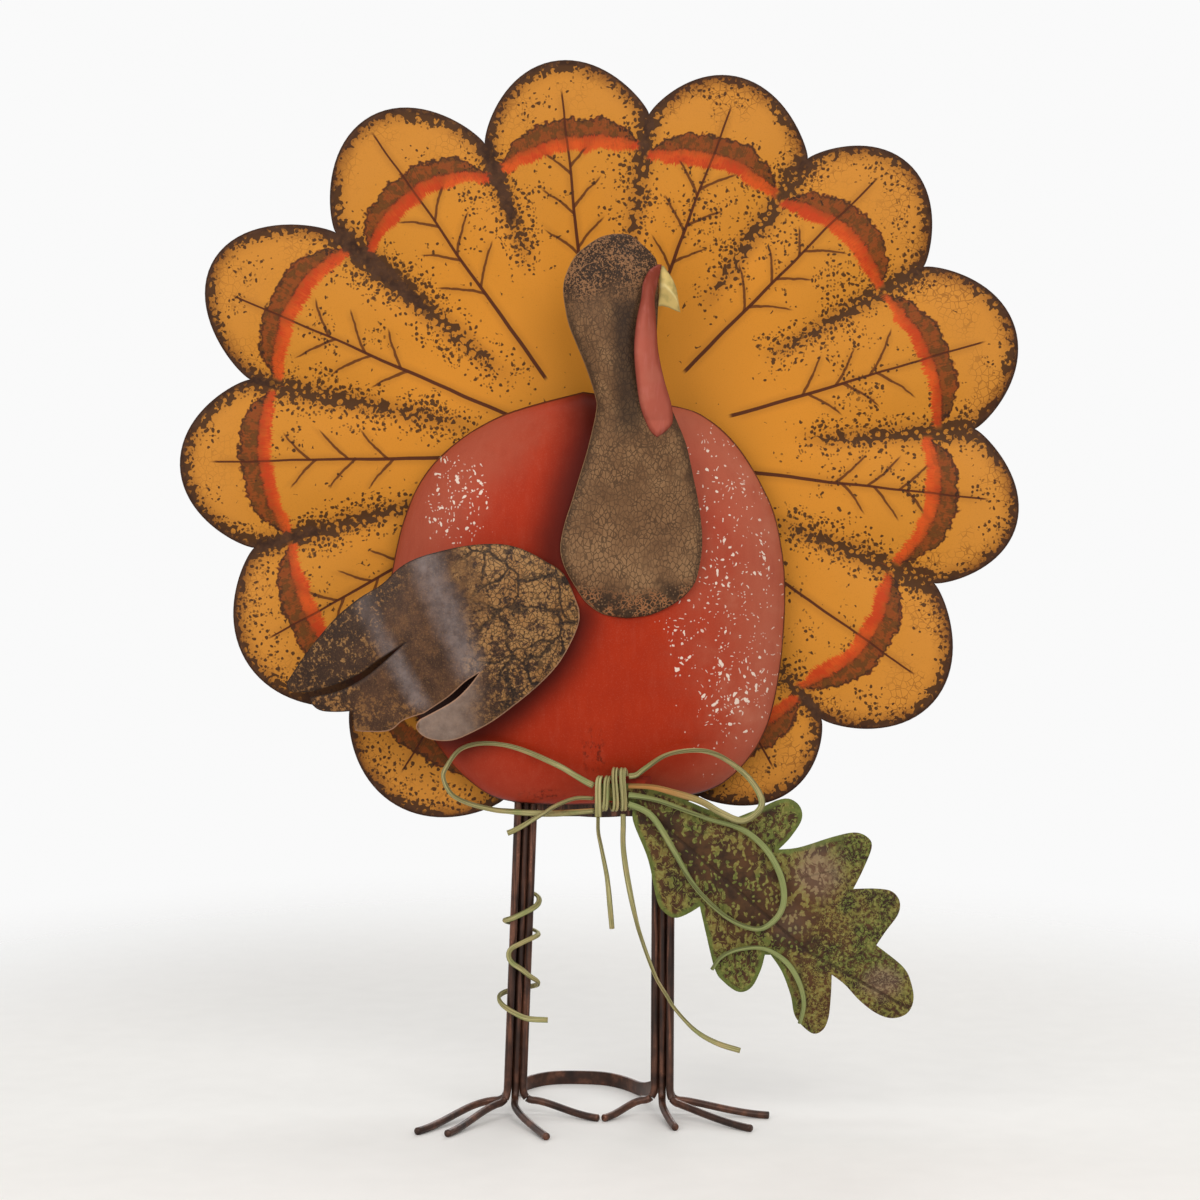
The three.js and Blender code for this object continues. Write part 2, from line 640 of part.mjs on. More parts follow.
function neckFaceAt(across, up) {
  const t = clamp((up - neckFoot) / neckHeight, 0, 1);
  const [left, right] = [acrossAt(neckLeftEdge, up), acrossAt(neckRightEdge, up)];
  const half = Math.max((right - left) / 2, seatGap);
  const q = clamp((across - (left + right) / 2) / half, -1, 1);
  const crown = lerp(bibCrown, neckCrown, ease(clamp((t - 0.2) / 0.3, 0, 1)));
  const ends = Math.sqrt(Math.max(0, 1 - (2 * t - 1) ** 8));
  return neckBaseDepth + neckLean * ease(clamp((t - 0.15) / 0.6, 0, 1)) + crown * ends * (1 - q * q);
}

function neckPoint(row, column, drop) {
  const t = (1 - Math.cos(Math.PI * row / neckRows)) / 2;
  const up = neckFoot + t * neckHeight;
  const [left, right] = [acrossAt(neckLeftEdge, up), acrossAt(neckRightEdge, up)];
  const across = lerp(left, right, column / neckColumns);
  return at(across, neckFaceAt(across, up) - drop, up);
}

function makeHead() {
  let head = skin(
    neckRows,
    neckColumns,
    (i, j) => neckPoint(i, j, 0),
    (i, j) => neckPoint(i, j, sheetWall),
  );
  for (const [across, up] of neckPins) {
    const back = bodyInnerAt(across, up) - pinReach;
    head = head.add(barForwards(across, up, back, neckFaceAt(across, up) - sheetWall / 2, pinDiameter));
  }
  addPiece('head_neck', head, paints.crackleBrown);
}

// Wattle: a hanging strip that follows the face of the neck and stands off it in the middle
function wattlePoint(row, column, drop) {
  const t = row / wattleRows;
  let k = 1;
  while (k < wattleRowShares.length - 1 && wattleRowShares[k][0] < t) k += 1;
  const [low, high] = [wattleRowShares[k - 1], wattleRowShares[k]];
  const step = (t - low[0]) / (high[0] - low[0]);
  const q = 2 * column / wattleColumns - 1;
  const share = lerp(lerp(low[1], high[1], step), lerp(low[2], high[2], step), (q + 1) / 2);
  const across = wattleLeft + share * wattleWidth;
  const up = wattleFoot + t * wattleHeight;
  const stand = wattleStandOff * Math.sin(Math.PI * clamp((1 - t) / 0.9, 0, 1)) ** 0.7;
  const crown = wattleCrown * (1 - q * q) * Math.sin(Math.PI * t) ** 0.5;
  return at(across, neckFaceAt(across, up) + seatGap + sheetWall + stand + crown - drop, up);
}

function makeWattle() {
  addPiece('wattle', skin(
    wattleRows,
    wattleColumns,
    (i, j) => wattlePoint(i, j, 0),
    (i, j) => wattlePoint(i, j, sheetWall),
  ), paints.wattleRed);
}

// Beak: two facets folded along a ridge, from the edge of the head to the tip
function shareAlong(shares, t) {
  let k = 1;
  while (k < shares.length - 1 && shares[k][0] < t) k += 1;
  const [low, high] = [shares[k - 1], shares[k]];
  return lerp(low[1], high[1], (t - low[0]) / (high[0] - low[0]));
}

function beakPoint(row, column, drop) {
  const t = row / beakRows;
  const q = 2 * column / beakColumns - 1;
  const [under, top] = [shareAlong(beakUnderShares, t), shareAlong(beakTopShares, t)];
  const up = beakFoot + beakDrop * lerp(under, top, (q + 1) / 2);
  const root = acrossAt(neckRightEdge, up) + seatGap;
  const base = neckFaceAt(root, up);
  const depth = base + beakFold * (1 - Math.abs(q)) * Math.sin(Math.PI * clamp(t, 0, 1)) ** 0.5;
  return at(lerp(root, neckLeft + neckWidth * 0.685 + beakLength, t), depth - drop, up);
}

function makeBeak() {
  addPiece('beak', skin(
    beakRows,
    beakColumns,
    (i, j) => beakPoint(i, j, 0),
    (i, j) => beakPoint(i, j, sheetWall),
  ), paints.paleYellow);
}

function makeWing() {
  const outline = outlineThrough(wingStretchShares, wingLeft, wingFoot, wingWidth, wingHeight, 1.2);
  let wing = pressedSheet(outline, wingCell, sheetWall, wingFaceAt);
  for (const [across, up] of wingPins) {
    const back = bodyInnerAt(across, up) - pinReach;
    wing = wing.add(barForwards(across, up, back, wingFaceAt(across, up) - sheetWall / 2, pinDiameter));
  }
  addPiece('wing', wing, paints.wingBrown);
}

// Sleeves and nuts on the pins of wing and neck
function bored(solid, across, up, back, front, bore) {
  return solid.subtract(barForwards(across, up, back - cutOverrun, front + cutOverrun, bore));
}

function makePinFittings() {
  const bore = pinDiameter + 2 * seatGap;
  const hexNut = (name, across, up) => {
    const [lowest] = seatDepths(bodyInnerAt, across, up, hexNutAcross / Math.sqrt(3));
    const front = lowest - seatGap;
    const nut = barForwards(across, up, front - hexNutLength, front, hexNutAcross * 2 / Math.sqrt(3), 6);
    addPiece(name, bored(nut, across, up, front - hexNutLength, front, bore), paints.zinc);
  };
  wingPins.forEach(([across, up], i) => {
    const place = ['root', 'middle'][i];
    const back = seatDepths(bodyFaceAt, across, up, spacerDiameter / 2)[1] + seatGap;
    const front = seatDepths(wingFaceAt, across, up, spacerDiameter / 2)[0] - sheetWall - seatGap;
    const sleeve = barForwards(across, up, back, front, spacerDiameter);
    addPiece(`wing_spacer_${place}`, bored(sleeve, across, up, back, front, bore), paints.darkBronze);
    hexNut(`wing_nut_${place}`, across, up);
  });
  neckPins.forEach(([across, up], i) => hexNut(`neck_nut_${['lower', 'upper'][i]}`, across, up));
}

// Legs
function legAcross(side, up) {
  const [hip, ankle] = side === 'left' ? [leftLegHip, leftLegAnkle] : [rightLegHip, rightLegAnkle];
  return lerp(ankle, hip, (up - legAnkleHeight) / (legHipHeight - legAnkleHeight));
}

// The run of a rod: straight down the leg, round the ankle, then out and down to lie on the floor
function rodRoute(side, across, forwards, leaving, reach) {
  const bend = at(legAcross(side, ankleBend) + across, forwards, ankleBend);
  const foot = legAcross(side, toeHeel) + across;
  const out = at(leaving[0], leaving[1], 0).normalize();
  const corner = at(foot, forwards, toeHeel);
  const heel = corner.clone().addScaledVector(out, toeTurn);
  const tip = at(legAcross(side, 0) + reach[0], reach[1], rodRadius);
  const lead = heel.clone().addScaledVector(out, heel.distanceTo(tip) / 4);
  lead.z = lerp(toeHeel, rodRadius, 0.25);
  const settle = heel.clone().lerp(tip, 0.6);
  settle.z = rodRadius;
  const ankle = new THREE.QuadraticBezierCurve3(bend, corner, heel);
  const toe = new THREE.CubicBezierCurve3(heel, lead, settle, tip);
  const hip = at(legAcross(side, legHipHeight) + across, forwards, legHipHeight);
  return [hip, ...ankle.getPoints(ankleSteps), ...toe.getSpacedPoints(toeSteps).slice(1)];
}

// An eight-sided section with one flat turned to face an angle
function octagon(diameter, facing) {
  const corner = diameter / 2 / Math.cos(Math.PI / raffiaSides);
  const points = [];
  for (let i = 0; i < raffiaSides; i += 1) {
    const angle = facing + (i + 0.5) * 2 * Math.PI / raffiaSides;
    points.push(new THREE.Vector2(corner * Math.cos(angle), corner * Math.sin(angle)));
  }
  return new THREE.Shape(points);
}

function makeRod(name, side, across, forwards, leaving, reach) {
  const route = rodRoute(side, across, forwards, leaving, reach);
  const facing = at(-leaving[1], leaving[0], 0);
  addPiece(name, tubeThrough(route, rodDiameter, rodSides, facing, true), paints.darkBronze);
}

function makeLegs() {
  for (const side of ['left', 'right']) {
    const out = side === 'left' ? -1 : 1;
    const reaches = toeReaches[side];
    makeRod(`${side}_leg_rod_outer`, side, out * rodPitch, 0, [out, 0], reaches.outer);
    makeRod(`${side}_leg_rod_middle`, side, 0, 0, [0, 1], reaches.middle);
    makeRod(`${side}_leg_rod_inner`, side, -out * rodPitch, 0, [-out, 0], reaches.inner);
    makeRod(`${side}_leg_rod_front`, side, out * rodPitch, rodPitch, [out, 1], reaches.front);
  }
}

// Rear brace: a bar on edge, bent round behind the feet, its arms rising to the legs
function makeBrace() {
  const left = legAcross('left', braceRise);
  const right = legAcross('right', braceRise);
  const start = rodRadius + seatGap;
  const route = new THREE.CatmullRomCurve3([
    new THREE.Vector3(left, start, 0),
    new THREE.Vector3(lerp(left, right, 0.01), braceLeftReach / 2, 0),
    new THREE.Vector3(lerp(left, right, 0.04), braceLeftReach, 0),
    new THREE.Vector3(lerp(left, right, 0.2), braceReach - braceCrown / 4, 0),
    new THREE.Vector3(lerp(left, right, 0.42), braceReach, 0),
    new THREE.Vector3(lerp(left, right, 0.66), braceReach - braceCrown / 2, 0),
    new THREE.Vector3(lerp(left, right, 0.86), braceReach / 2 + braceCrown / 2, 0),
    new THREE.Vector3(right, start, 0),
  ]);
  const steps = 36;
  const sides = [[], []];
  for (let i = 0; i <= steps; i += 1) {
    const place = route.getPointAt(i / steps);
    const along = route.getTangentAt(i / steps);
    const square = new THREE.Vector3(Math.sign(along.y), 0, 0);
    const turn = i === 0 || i === steps ? square : new THREE.Vector3(along.y, -along.x, 0);
    const off = turn.multiplyScalar(braceBar / 2);
    sides[0].push(new THREE.Vector2(place.x + off.x, place.y + off.y));
    sides[1].unshift(new THREE.Vector2(place.x - off.x, place.y - off.y));
  }
  const plan = new THREE.Shape(sides.flat());
  const bar = new THREE.ExtrudeGeometry(plan, { depth: braceBarHeight, bevelEnabled: false });
  const place = bar.getAttribute('position');
  const ramp = braceReach - 2 * braceCrown;
  for (let i = 0; i < place.count; i += 1) {
    place.setZ(i, place.getZ(i) + braceRise * ease(clamp((ramp - place.getY(i)) / ramp, 0, 1)));
  }
  addPiece('rear_brace', solidOf(bar), paints.darkBronze);
}

// Cross bar between the legs, its ends slanted along them
function makeCrossbar() {
  const inner = rodPitch + rodRadius + seatGap;
  const top = crossbarFoot + crossbarHeight;
  const shape = new THREE.Shape([
    new THREE.Vector2(legAcross('left', crossbarFoot) + inner, crossbarFoot),
    new THREE.Vector2(legAcross('right', crossbarFoot) - inner, crossbarFoot),
    new THREE.Vector2(legAcross('right', top) - inner, top),
    new THREE.Vector2(legAcross('left', top) + inner, top),
  ]);
  const bar = new THREE.ExtrudeGeometry(shape, { depth: crossbarWall, bevelEnabled: false });
  bar.rotateX(Math.PI / 2);
  bar.translate(0, crossbarWall / 2, 0);
  addPiece('crossbar', solidOf(bar), paints.darkBronze);
}

// Bow bracket: an upright plate inside the winding, a tongue beside it and a shelf back to the cross bar
const bowFront = bowDepth + plateWall / 2;
const bowBack = bowDepth - plateWall / 2;
const bowTop = bowHeight + bowPlateHeight / 2;
const bowFoot = bowHeight - bowPlateHeight / 2;

function makeBowBracket() {
  const shelfLeft = bowReach - bowShelfWidth;
  const plate = block([0, bowBack, bowFoot], [bowReach, bowFront, bowTop]);
  const tongue = block([shelfLeft, bowBack, bowShelfHeight], [bowReach, bowFront, bowTop]);
  const shelf = block(
    [shelfLeft, crossbarWall / 2 + seatGap, bowShelfHeight],
    [bowReach, bowFront, bowShelfHeight + plateWall],
  );
  addPiece('bow_bracket', plate.add(tongue).add(shelf), paints.darkBronze);
}

// Oak leaf: flat on the bracket, waved along its length and folded back away from its midrib
const leafBase = bowFront + seatGap + sheetWall;
const leafMidrib = leafMidribShares.map(
  ([across, up]) => new THREE.Vector2(leafLeft + across * leafWidth, leafFoot + up * leafHeight),
);
const leafFlat = bowPlateHeight;

function leafFaceAt(across, up) {
  const place = new THREE.Vector2(across, up);
  let away = Infinity;
  for (let i = 1; i < leafMidrib.length; i += 1) {
    const [a, b] = [leafMidrib[i - 1], leafMidrib[i]];
    const run = b.clone().sub(a);
    const t = clamp(place.clone().sub(a).dot(run) / run.lengthSq(), 0, 1);
    away = Math.min(away, place.distanceTo(a.clone().addScaledVector(run, t)));
  }
  const along = clamp((across - bowReach - leafFlat / 2) / (leafWidth - bowReach), 0, 1);
  const free = clamp((across - leafLeft) / leafFlat, 0, 1);
  const fold = leafFold * free * Math.max(0, away - leafFlat) / (leafHeight / 4);
  return leafBase + leafWave * Math.sin(Math.PI * along) - fold;
}

function makeLeaf() {
  const tab = [[[0.018, 1], [-leafTabShare, 1]], [[-leafTabShare, 1], [-leafTabShare, 0.935]],
    [[-leafTabShare, 0.935], [0, 0.924]]];
  const stretches = [...leafStretchShares, ...tab];
  const outline = outlineThrough(stretches, leafLeft, leafFoot, leafWidth, leafHeight, 1);
  addPiece('oak_leaf', pressedSheet(outline, leafCell, sheetWall, leafFaceAt), paints.leafGreen);
}

// Hip plates, their studs and the butterfly nuts behind the fan
const plateFront = -(rodRadius + seatGap);
const plateBack = plateFront - plateWall;

function stud(across, up, from) {
  return barForwards(across, up, fanBack - studReach, from, studDiameter);
}

function makeHipPlates() {
  for (const side of ['left', 'right']) {
    const middle = hipCentres[side];
    let plate = block(
      [middle - hipPlateWidth / 2, plateBack, hipHeight - hipPlateHeight / 2],
      [middle + hipPlateWidth / 2, plateFront, hipHeight + hipPlateHeight / 2],
    );
    for (const [owner, , across, up] of hipStuds) {
      if (owner === side) plate = plate.add(stud(across, up, plateFront));
    }
    addPiece(`${side}_hip_plate`, plate, paints.darkBronze);
  }
}

function makeButterflyNut(name, across, up) {
  const front = fanBack - seatGap;
  const back = front - nutBodyLength;
  const body = barForwards(across, up, back, front, nutBodyDiameter);
  const ears = block(
    [across - nutEarSpan / 2, back - nutEarHeight / 2, up - nutEarWall / 2],
    [across + nutEarSpan / 2, back + nutBodyLength / 2, up + nutEarWall / 2],
  );
  const waist = block(
    [across - nutBodyDiameter / 2, back - nutEarHeight, up - nutBodyDiameter],
    [across + nutBodyDiameter / 2, back, up + nutBodyDiameter],
  );
  const nut = body.add(ears.subtract(waist));
  const bore = studDiameter + 2 * seatGap;
  addPiece(name, bored(nut, across, up, back - nutEarHeight, front, bore), paints.zinc);
}

function makeButterflyNuts() {
  for (const [side, level, across, up] of hipStuds) makeButterflyNut(`${side}_hip_nut_${level}`, across, up);
  makeButterflyNut('strut_nut', ...strutStud);
}

// Straps across the inside of the dome, welded over the front rods
function rimSpanAt(up) {
  const crossings = [];
  for (let i = 0; i < bodySteps; i += 1) {
    const [a, b] = [bodyRim[i], bodyRim[(i + 1) % bodySteps]];
    if ((a.y - up) * (b.y - up) < 0) crossings.push(lerp(a.x, b.x, (up - a.y) / (b.y - a.y)));
  }
  return [Math.min(...crossings), Math.max(...crossings)];
}

function makeStraps() {
  for (const [name, foot] of [['lower', lowerStrapHeight], ['upper', upperStrapHeight]]) {
    const [low, high] = [rimSpanAt(foot), rimSpanAt(foot + strapHeight)];
    const inset = 2 * (sheetWall + seatGap);
    const shape = new THREE.Shape([
      new THREE.Vector2(low[0] + inset, foot),
      new THREE.Vector2(low[1] - inset, foot),
      new THREE.Vector2(high[1] - inset, foot + strapHeight),
      new THREE.Vector2(high[0] + inset, foot + strapHeight),
    ]);
    const strap = new THREE.ExtrudeGeometry(shape, { depth: plateWall, bevelEnabled: false });
    strap.rotateX(Math.PI / 2);
    strap.translate(0, -bodyRimDepth, 0);
    addPiece(`body_strap_${name}`, solidOf(strap), paints.darkBronze);
  }
}

// Strut: a foot on the fan, an arm forwards over the body and a tab behind the head
function makeStrut() {
  const [left, right] = [strutCentre - strutWidth / 2, strutCentre + strutWidth / 2];
  const seat = fanFront + seatGap;
  const foot = block([left, seat, strutHeight - strutFoot], [right, seat + strutWall, strutHeight]);
  const backs = [left, right].flatMap((across) => [strutHeight, strutHeight + strutTab].map(
    (up) => neckFaceAt(across, up) - sheetWall - 2 * seatGap,
  ));
  const front = Math.min(...backs);
  const base = strutHeight - strutWall;
  const arm = block([left, seat, base], [right, front, strutHeight]);
  const tab = block([left, front - strutWall, base], [right, front, strutHeight + strutTab]);
  const strut = foot.add(arm).add(tab).add(stud(...strutStud, seat + strutWall));
  addPiece('head_strut', strut, paints.darkBronze);
}

// Raffia winding round bracket and leaf tab: up the front, down the back, one pitch a turn
function windingPoint(turn) {
  const middle = bowFront + seatGap / 2 + sheetWall / 2 - plateWall / 2;
  const angle = 2 * Math.PI * turn;
  const round = (value) => Math.sign(value) * Math.sqrt(Math.abs(value));
  return at(
    raffiaKnotStart + raffiaKnotPitch * turn,
    middle + raffiaKnotDepth * round(Math.cos(angle)),
    bowHeight + raffiaKnotRise * round(Math.sin(angle)),
  );
}

function leastGap(points, diameter, apart) {
  let least = Infinity;
  for (let i = 0; i < points.length; i += 1) {
    for (let j = i + apart; j < points.length; j += 1) {
      least = Math.min(least, points[i].distanceTo(points[j]) - diameter);
    }
  }
  return least;
}

function makeKnot() {
  const stepsPerLoop = 24;
  const steps = stepsPerLoop * raffiaKnotLoops - stepsPerLoop / 4;
  const points = [];
  for (let i = 0; i <= steps; i += 1) points.push(windingPoint(i / stepsPerLoop));
  const stub = points[0].clone();
  stub.z = bowHeight - raffiaKnotRise - raffiaKnotDiameter;
  const knee = points[0].clone();
  knee.z = bowHeight - raffiaKnotRise / 2;
  points.unshift(stub, knee);
  const gap = leastGap(points, raffiaKnotDiameter, stepsPerLoop / 2);
  console.log(`raffia_knot least gap ${gap.toFixed(2)} mm`);
  addPiece('raffia_knot', tubeThrough(points, raffiaKnotDiameter, 6, at(1, 0, 0)), paints.raffia);
}

// Free strands of raffia
function makeStrand(name, route, diameter, step) {
  const path = new THREE.CatmullRomCurve3(route.map(([across, forwards, up]) => at(across, forwards, up)));
  const steps = Math.ceil(path.getLength() / step);
  console.log(`${name} ${(path.getLength() / 1000).toFixed(3)} m`);
  const tube = new THREE.ExtrudeGeometry(octagon(diameter, 0), { steps, extrudePath: path });
  addPiece(name, solidOf(tube), paints.raffia, free);
}

function makeStrands() {
  makeStrand('raffia_loop_left', leftLoopRoute, raffiaLoopDiameter, raffiaTailStep);
  makeStrand('raffia_loop_right', rightLoopRoute, raffiaLoopDiameter, raffiaTailStep);
  makeStrand('raffia_loop_low', lowLoopRoute, raffiaLoopDiameter, raffiaTailStep);
  makeStrand('raffia_tail_long', longTailRoute, raffiaTailDiameter, raffiaTailStep);
  makeStrand('raffia_tail_short', shortTailRoute, raffiaTailDiameter, raffiaTailStep);
  makeStrand('raffia_tail_left', leftTailRoute, raffiaTailDiameter, raffiaTailStep);
  makeStrand('raffia_tail_leg', legTailRoute, raffiaTailDiameter, raffiaTailStep / 2);
  makeStrand('raffia_strand_leaf', leafStrandRoute, raffiaTailDiameter, raffiaTailStep);
}

makeFan();
makeBody();
makeHead();
makeWattle();
makeBeak();
makeWing();
makePinFittings();
makeLegs();
makeBrace();
makeCrossbar();
makeBowBracket();
makeLeaf();
makeHipPlates();
makeButterflyNuts();
makeStraps();
makeStrut();
makeKnot();
makeStrands();

// The figure stands on the floor with its middle over the origin
const reach = new THREE.Box3().setFromObject(figure);
const middle = reach.getCenter(new THREE.Vector3());
const turkey = new THREE.Group();
turkey.add(figure, free);
turkey.position.set(-middle.x, -middle.y, -reach.min.z);
console.log(`moved ${turkey.position.toArray().map((value) => value.toFixed(3))}`);

export default turkey;
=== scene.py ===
import math

import bpy
import numpy as np
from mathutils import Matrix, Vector
from mathutils.geometry import delaunay_2d_cdt


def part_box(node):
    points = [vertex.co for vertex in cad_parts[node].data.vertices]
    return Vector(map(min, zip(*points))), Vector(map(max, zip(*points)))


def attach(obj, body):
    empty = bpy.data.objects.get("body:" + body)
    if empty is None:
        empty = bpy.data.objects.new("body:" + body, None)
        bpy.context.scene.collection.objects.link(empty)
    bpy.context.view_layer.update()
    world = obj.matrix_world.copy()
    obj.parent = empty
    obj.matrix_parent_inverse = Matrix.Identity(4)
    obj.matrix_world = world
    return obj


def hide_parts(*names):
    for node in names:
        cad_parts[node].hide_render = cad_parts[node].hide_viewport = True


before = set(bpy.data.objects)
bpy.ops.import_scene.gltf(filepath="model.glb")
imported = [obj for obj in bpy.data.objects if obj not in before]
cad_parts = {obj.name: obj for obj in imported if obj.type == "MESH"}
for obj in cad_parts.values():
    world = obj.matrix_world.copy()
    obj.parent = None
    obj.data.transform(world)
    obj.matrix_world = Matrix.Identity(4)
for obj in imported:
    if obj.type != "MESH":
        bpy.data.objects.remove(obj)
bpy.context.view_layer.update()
mm = 0.001
# Thickness of the sheets, and the gap that stands for a weld, both in millimetres as in the solids
gauge, weldGap = 1.0, 0.3

# Shapes are worked out in millimetres across, forwards and up, as in the solids, and then put where
# the solids stand: the strut's middle is known across, and the cross bar's middle is at depth 0.
strutAcross = 11 * mm
strutLow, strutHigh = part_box("head_strut")
barLow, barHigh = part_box("crossbar")
shiftAcross = (strutLow[0] + strutHigh[0]) / 2 - strutAcross
shiftDepth = (barLow[1] + barHigh[1]) / 2


# Values side by side, one row for each point
def table(*values):
    return np.stack(np.broadcast_arrays(*values), -1).reshape(-1, len(values))


def place(across, forwards, up):
    return table(across * mm + shiftAcross, shiftDepth - forwards * mm, up * mm)


def ease(t):
    return t * t * (3 - 2 * t)


def clamp(t):
    return np.clip(t, 0, 1)


# Even steps from 0 to 1, drawn closer together towards both ends
def closeAtEnds(t):
    return (1 - np.cos(np.pi * t)) / 2


# A value in the material under construction, with arithmetic. The class keeps that material, its node
# tree, its named colours and the colour laid so far.
class Term:
    material = tree = values = colour = None

    def __init__(self, socket):
        self.socket = socket

    def __abs__(self):
        return maths("ABSOLUTE", self)

    # How far a noise is from its middle value
    @property
    def off(self):
        return self - 0.5


for operation, word in ("ADD", "add"), ("SUBTRACT", "sub"), ("MULTIPLY", "mul"), ("DIVIDE", "truediv"):
    setattr(Term, f"__{word}__", lambda self, other, kind=operation: maths(kind, self, other))
    setattr(Term, f"__r{word}__", lambda self, other, kind=operation: maths(kind, other, self))


# One node with its settings and inputs, given back as the value that it puts out
def node(kind, inputs=None, output=0, **settings):
    made = Term.tree.nodes.new("ShaderNode" + kind)
    for key, value in settings.items():
        setattr(made, key, value)
    for key, value in (inputs or {}).items():
        if isinstance(value, Term):
            Term.tree.links.new(value.socket, made.inputs[key])
        else:
            made.inputs[key].default_value = value
    return Term(made.outputs[output]) if len(made.outputs) else None


def maths(operation, *values):
    return node("Math", dict(enumerate(values)), operation=operation)


def vectorMaths(operation, *values):
    return node("VectorMath", dict(enumerate(values)), operation=operation)


def least(first, second):
    return maths("MINIMUM", first, second)


def most(first, *others):
    for other in others:
        first = maths("MAXIMUM", first, other)
    return first


def split(vector):
    return [Term(socket) for socket in node("SeparateXYZ", {0: vector}).socket.node.outputs]


def field(name):
    return split(node("Attribute", {}, "Vector", attribute_name=name))


def join(x, y, z):
    return node("CombineXYZ", {0: x, 1: y, 2: z})


def stretched(vector, up):
    return vectorMaths("MULTIPLY", vector, (1.0, 1.0, up))


def noise(vector, scale, detail=2.0, roughness=0.5, distortion=0.0, output=0):
    inputs = {"Vector": vector, "Scale": scale, "Detail": detail, "Roughness": roughness,
              "Distortion": distortion}
    return node("TexNoise", inputs, output)


# The place moved by noise, by up to half the amount each way
def warped(vector, scale, amount):
    moved = vectorMaths("SUBTRACT", noise(vector, scale, output=1), (0.5, 0.5, 0.5))
    return vectorMaths("ADD", vector, vectorMaths("MULTIPLY", moved, (amount, amount, amount)))


def cells(vector, scale):
    inputs = {"Vector": vector, "Scale": scale}
    return node("TexVoronoi", inputs, "Distance", feature="DISTANCE_TO_EDGE")


# Distance to the nearest of many scattered spots across and up, and a value drawn for that spot
def spots(vector, scale):
    x, _, z = split(vector)
    inputs = {"Vector": join(x, z, 0.0), "Scale": scale}
    away = node("TexVoronoi", inputs, "Distance", voronoi_dimensions="2D")
    return away, split(Term(away.socket.node.outputs["Color"]))[0]


# A smooth step from 0 at the first value to 1 at the second, which may be the lower one
def rise(value, first, second):
    inputs = {"Value": value, "From Min": min(first, second), "From Max": max(first, second),
              "To Min": float(first > second), "To Max": float(first < second)}
    return node("MapRange", inputs, interpolation_type="SMOOTHSTEP")


# Distance from the middle of an oval, 1 at its edge
def ovalDistance(x, z, cx, cz, rx, rz):
    dx, dz = (x - cx) / rx, (z - cz) / rz
    return maths("SQRT", dx * dx + dz * dz)


# A colour is a value, the name of one of the material's colours, or its red, green and blue up to 255
def tint(colour):
    if isinstance(colour, Term):
        return colour
    channels = [c / 255 for c in (Term.values[colour] if isinstance(colour, str) else colour)]
    return (*[c / 12.92 if c <= 0.04045 else ((c + 0.055) / 1.055) ** 2.4 for c in channels], 1.0)


def mix(share, ground, paint):
    return node("Mix", {"Factor": share, 6: tint(ground), 7: tint(paint)}, 2, data_type="RGBA")


# Lays paint by its share over the colour so far; the first paint of a material is laid over its ground
def lay(share, paint, ground=None):
    Term.colour = mix(share, ground or Term.colour, paint)


def begin(name, values):
    made = bpy.data.materials.new(name)
    made.use_nodes = True
    Term.material, Term.tree, Term.values = made, made.node_tree, values
    Term.tree.nodes.clear()
    return node("TexCoord", {}, "Object")


def surface(roughness=0.5, metallic=0.0, height=None, relief=0.3, coat=0.0, gloss=0.14):
    inputs = {"Base Color": Term.colour, "Roughness": roughness, "Metallic": metallic,
              "Specular IOR Level": gloss, "Coat Weight": coat, "Coat Roughness": 0.2}
    if height is not None:
        inputs["Normal"] = node("Bump", {"Strength": 1.0, "Distance": relief * mm, "Height": height})
    return node("BsdfPrincipled", inputs)


def finish(*values):
    node("OutputMaterial", {0: surface(*values)})
    return Term.material


def addObject(name, data):
    made = bpy.data.objects.new(name, data)
    bpy.context.scene.collection.objects.link(made)
    return made


# Stage: camera, floor, lights and white backdrop. Each light has its place, the height of its aim, its
# size, power and colour.
stageValues = {
    "cameraDistance": 2.4, "cameraHeight": 0.55, "lens": 82.8, "shift": -0.09875,
    "floor": (245, 244, 242), "grain": (251, 250, 248), "floorFade": (0.5, 1.25),
    "sky": (1.0, 0.985, 0.96, 1), "skyPower": 0.42, "backdrop": (0.955, 0.955, 0.955, 1),
    "lights": {
        "keyLight": ((1.0, -2.7, 1.9), 0.5, (2.0, 1.8), 39, (1.0, 0.98, 0.95)),
        "fillLight": ((-1.5, -2.4, 1.3), 0.45, (1.8, 1.8), 26, (1.0, 0.985, 0.96)),
        "topLight": ((0.0, 0.2, 2.6), 0.5, (1.6, 1.2), 14, (1, 1, 1)),
        "backLight": ((0.4, 2.4, 1.4), 0.5, (1.2, 1.2), 14, (1, 1, 1)),
    },
}


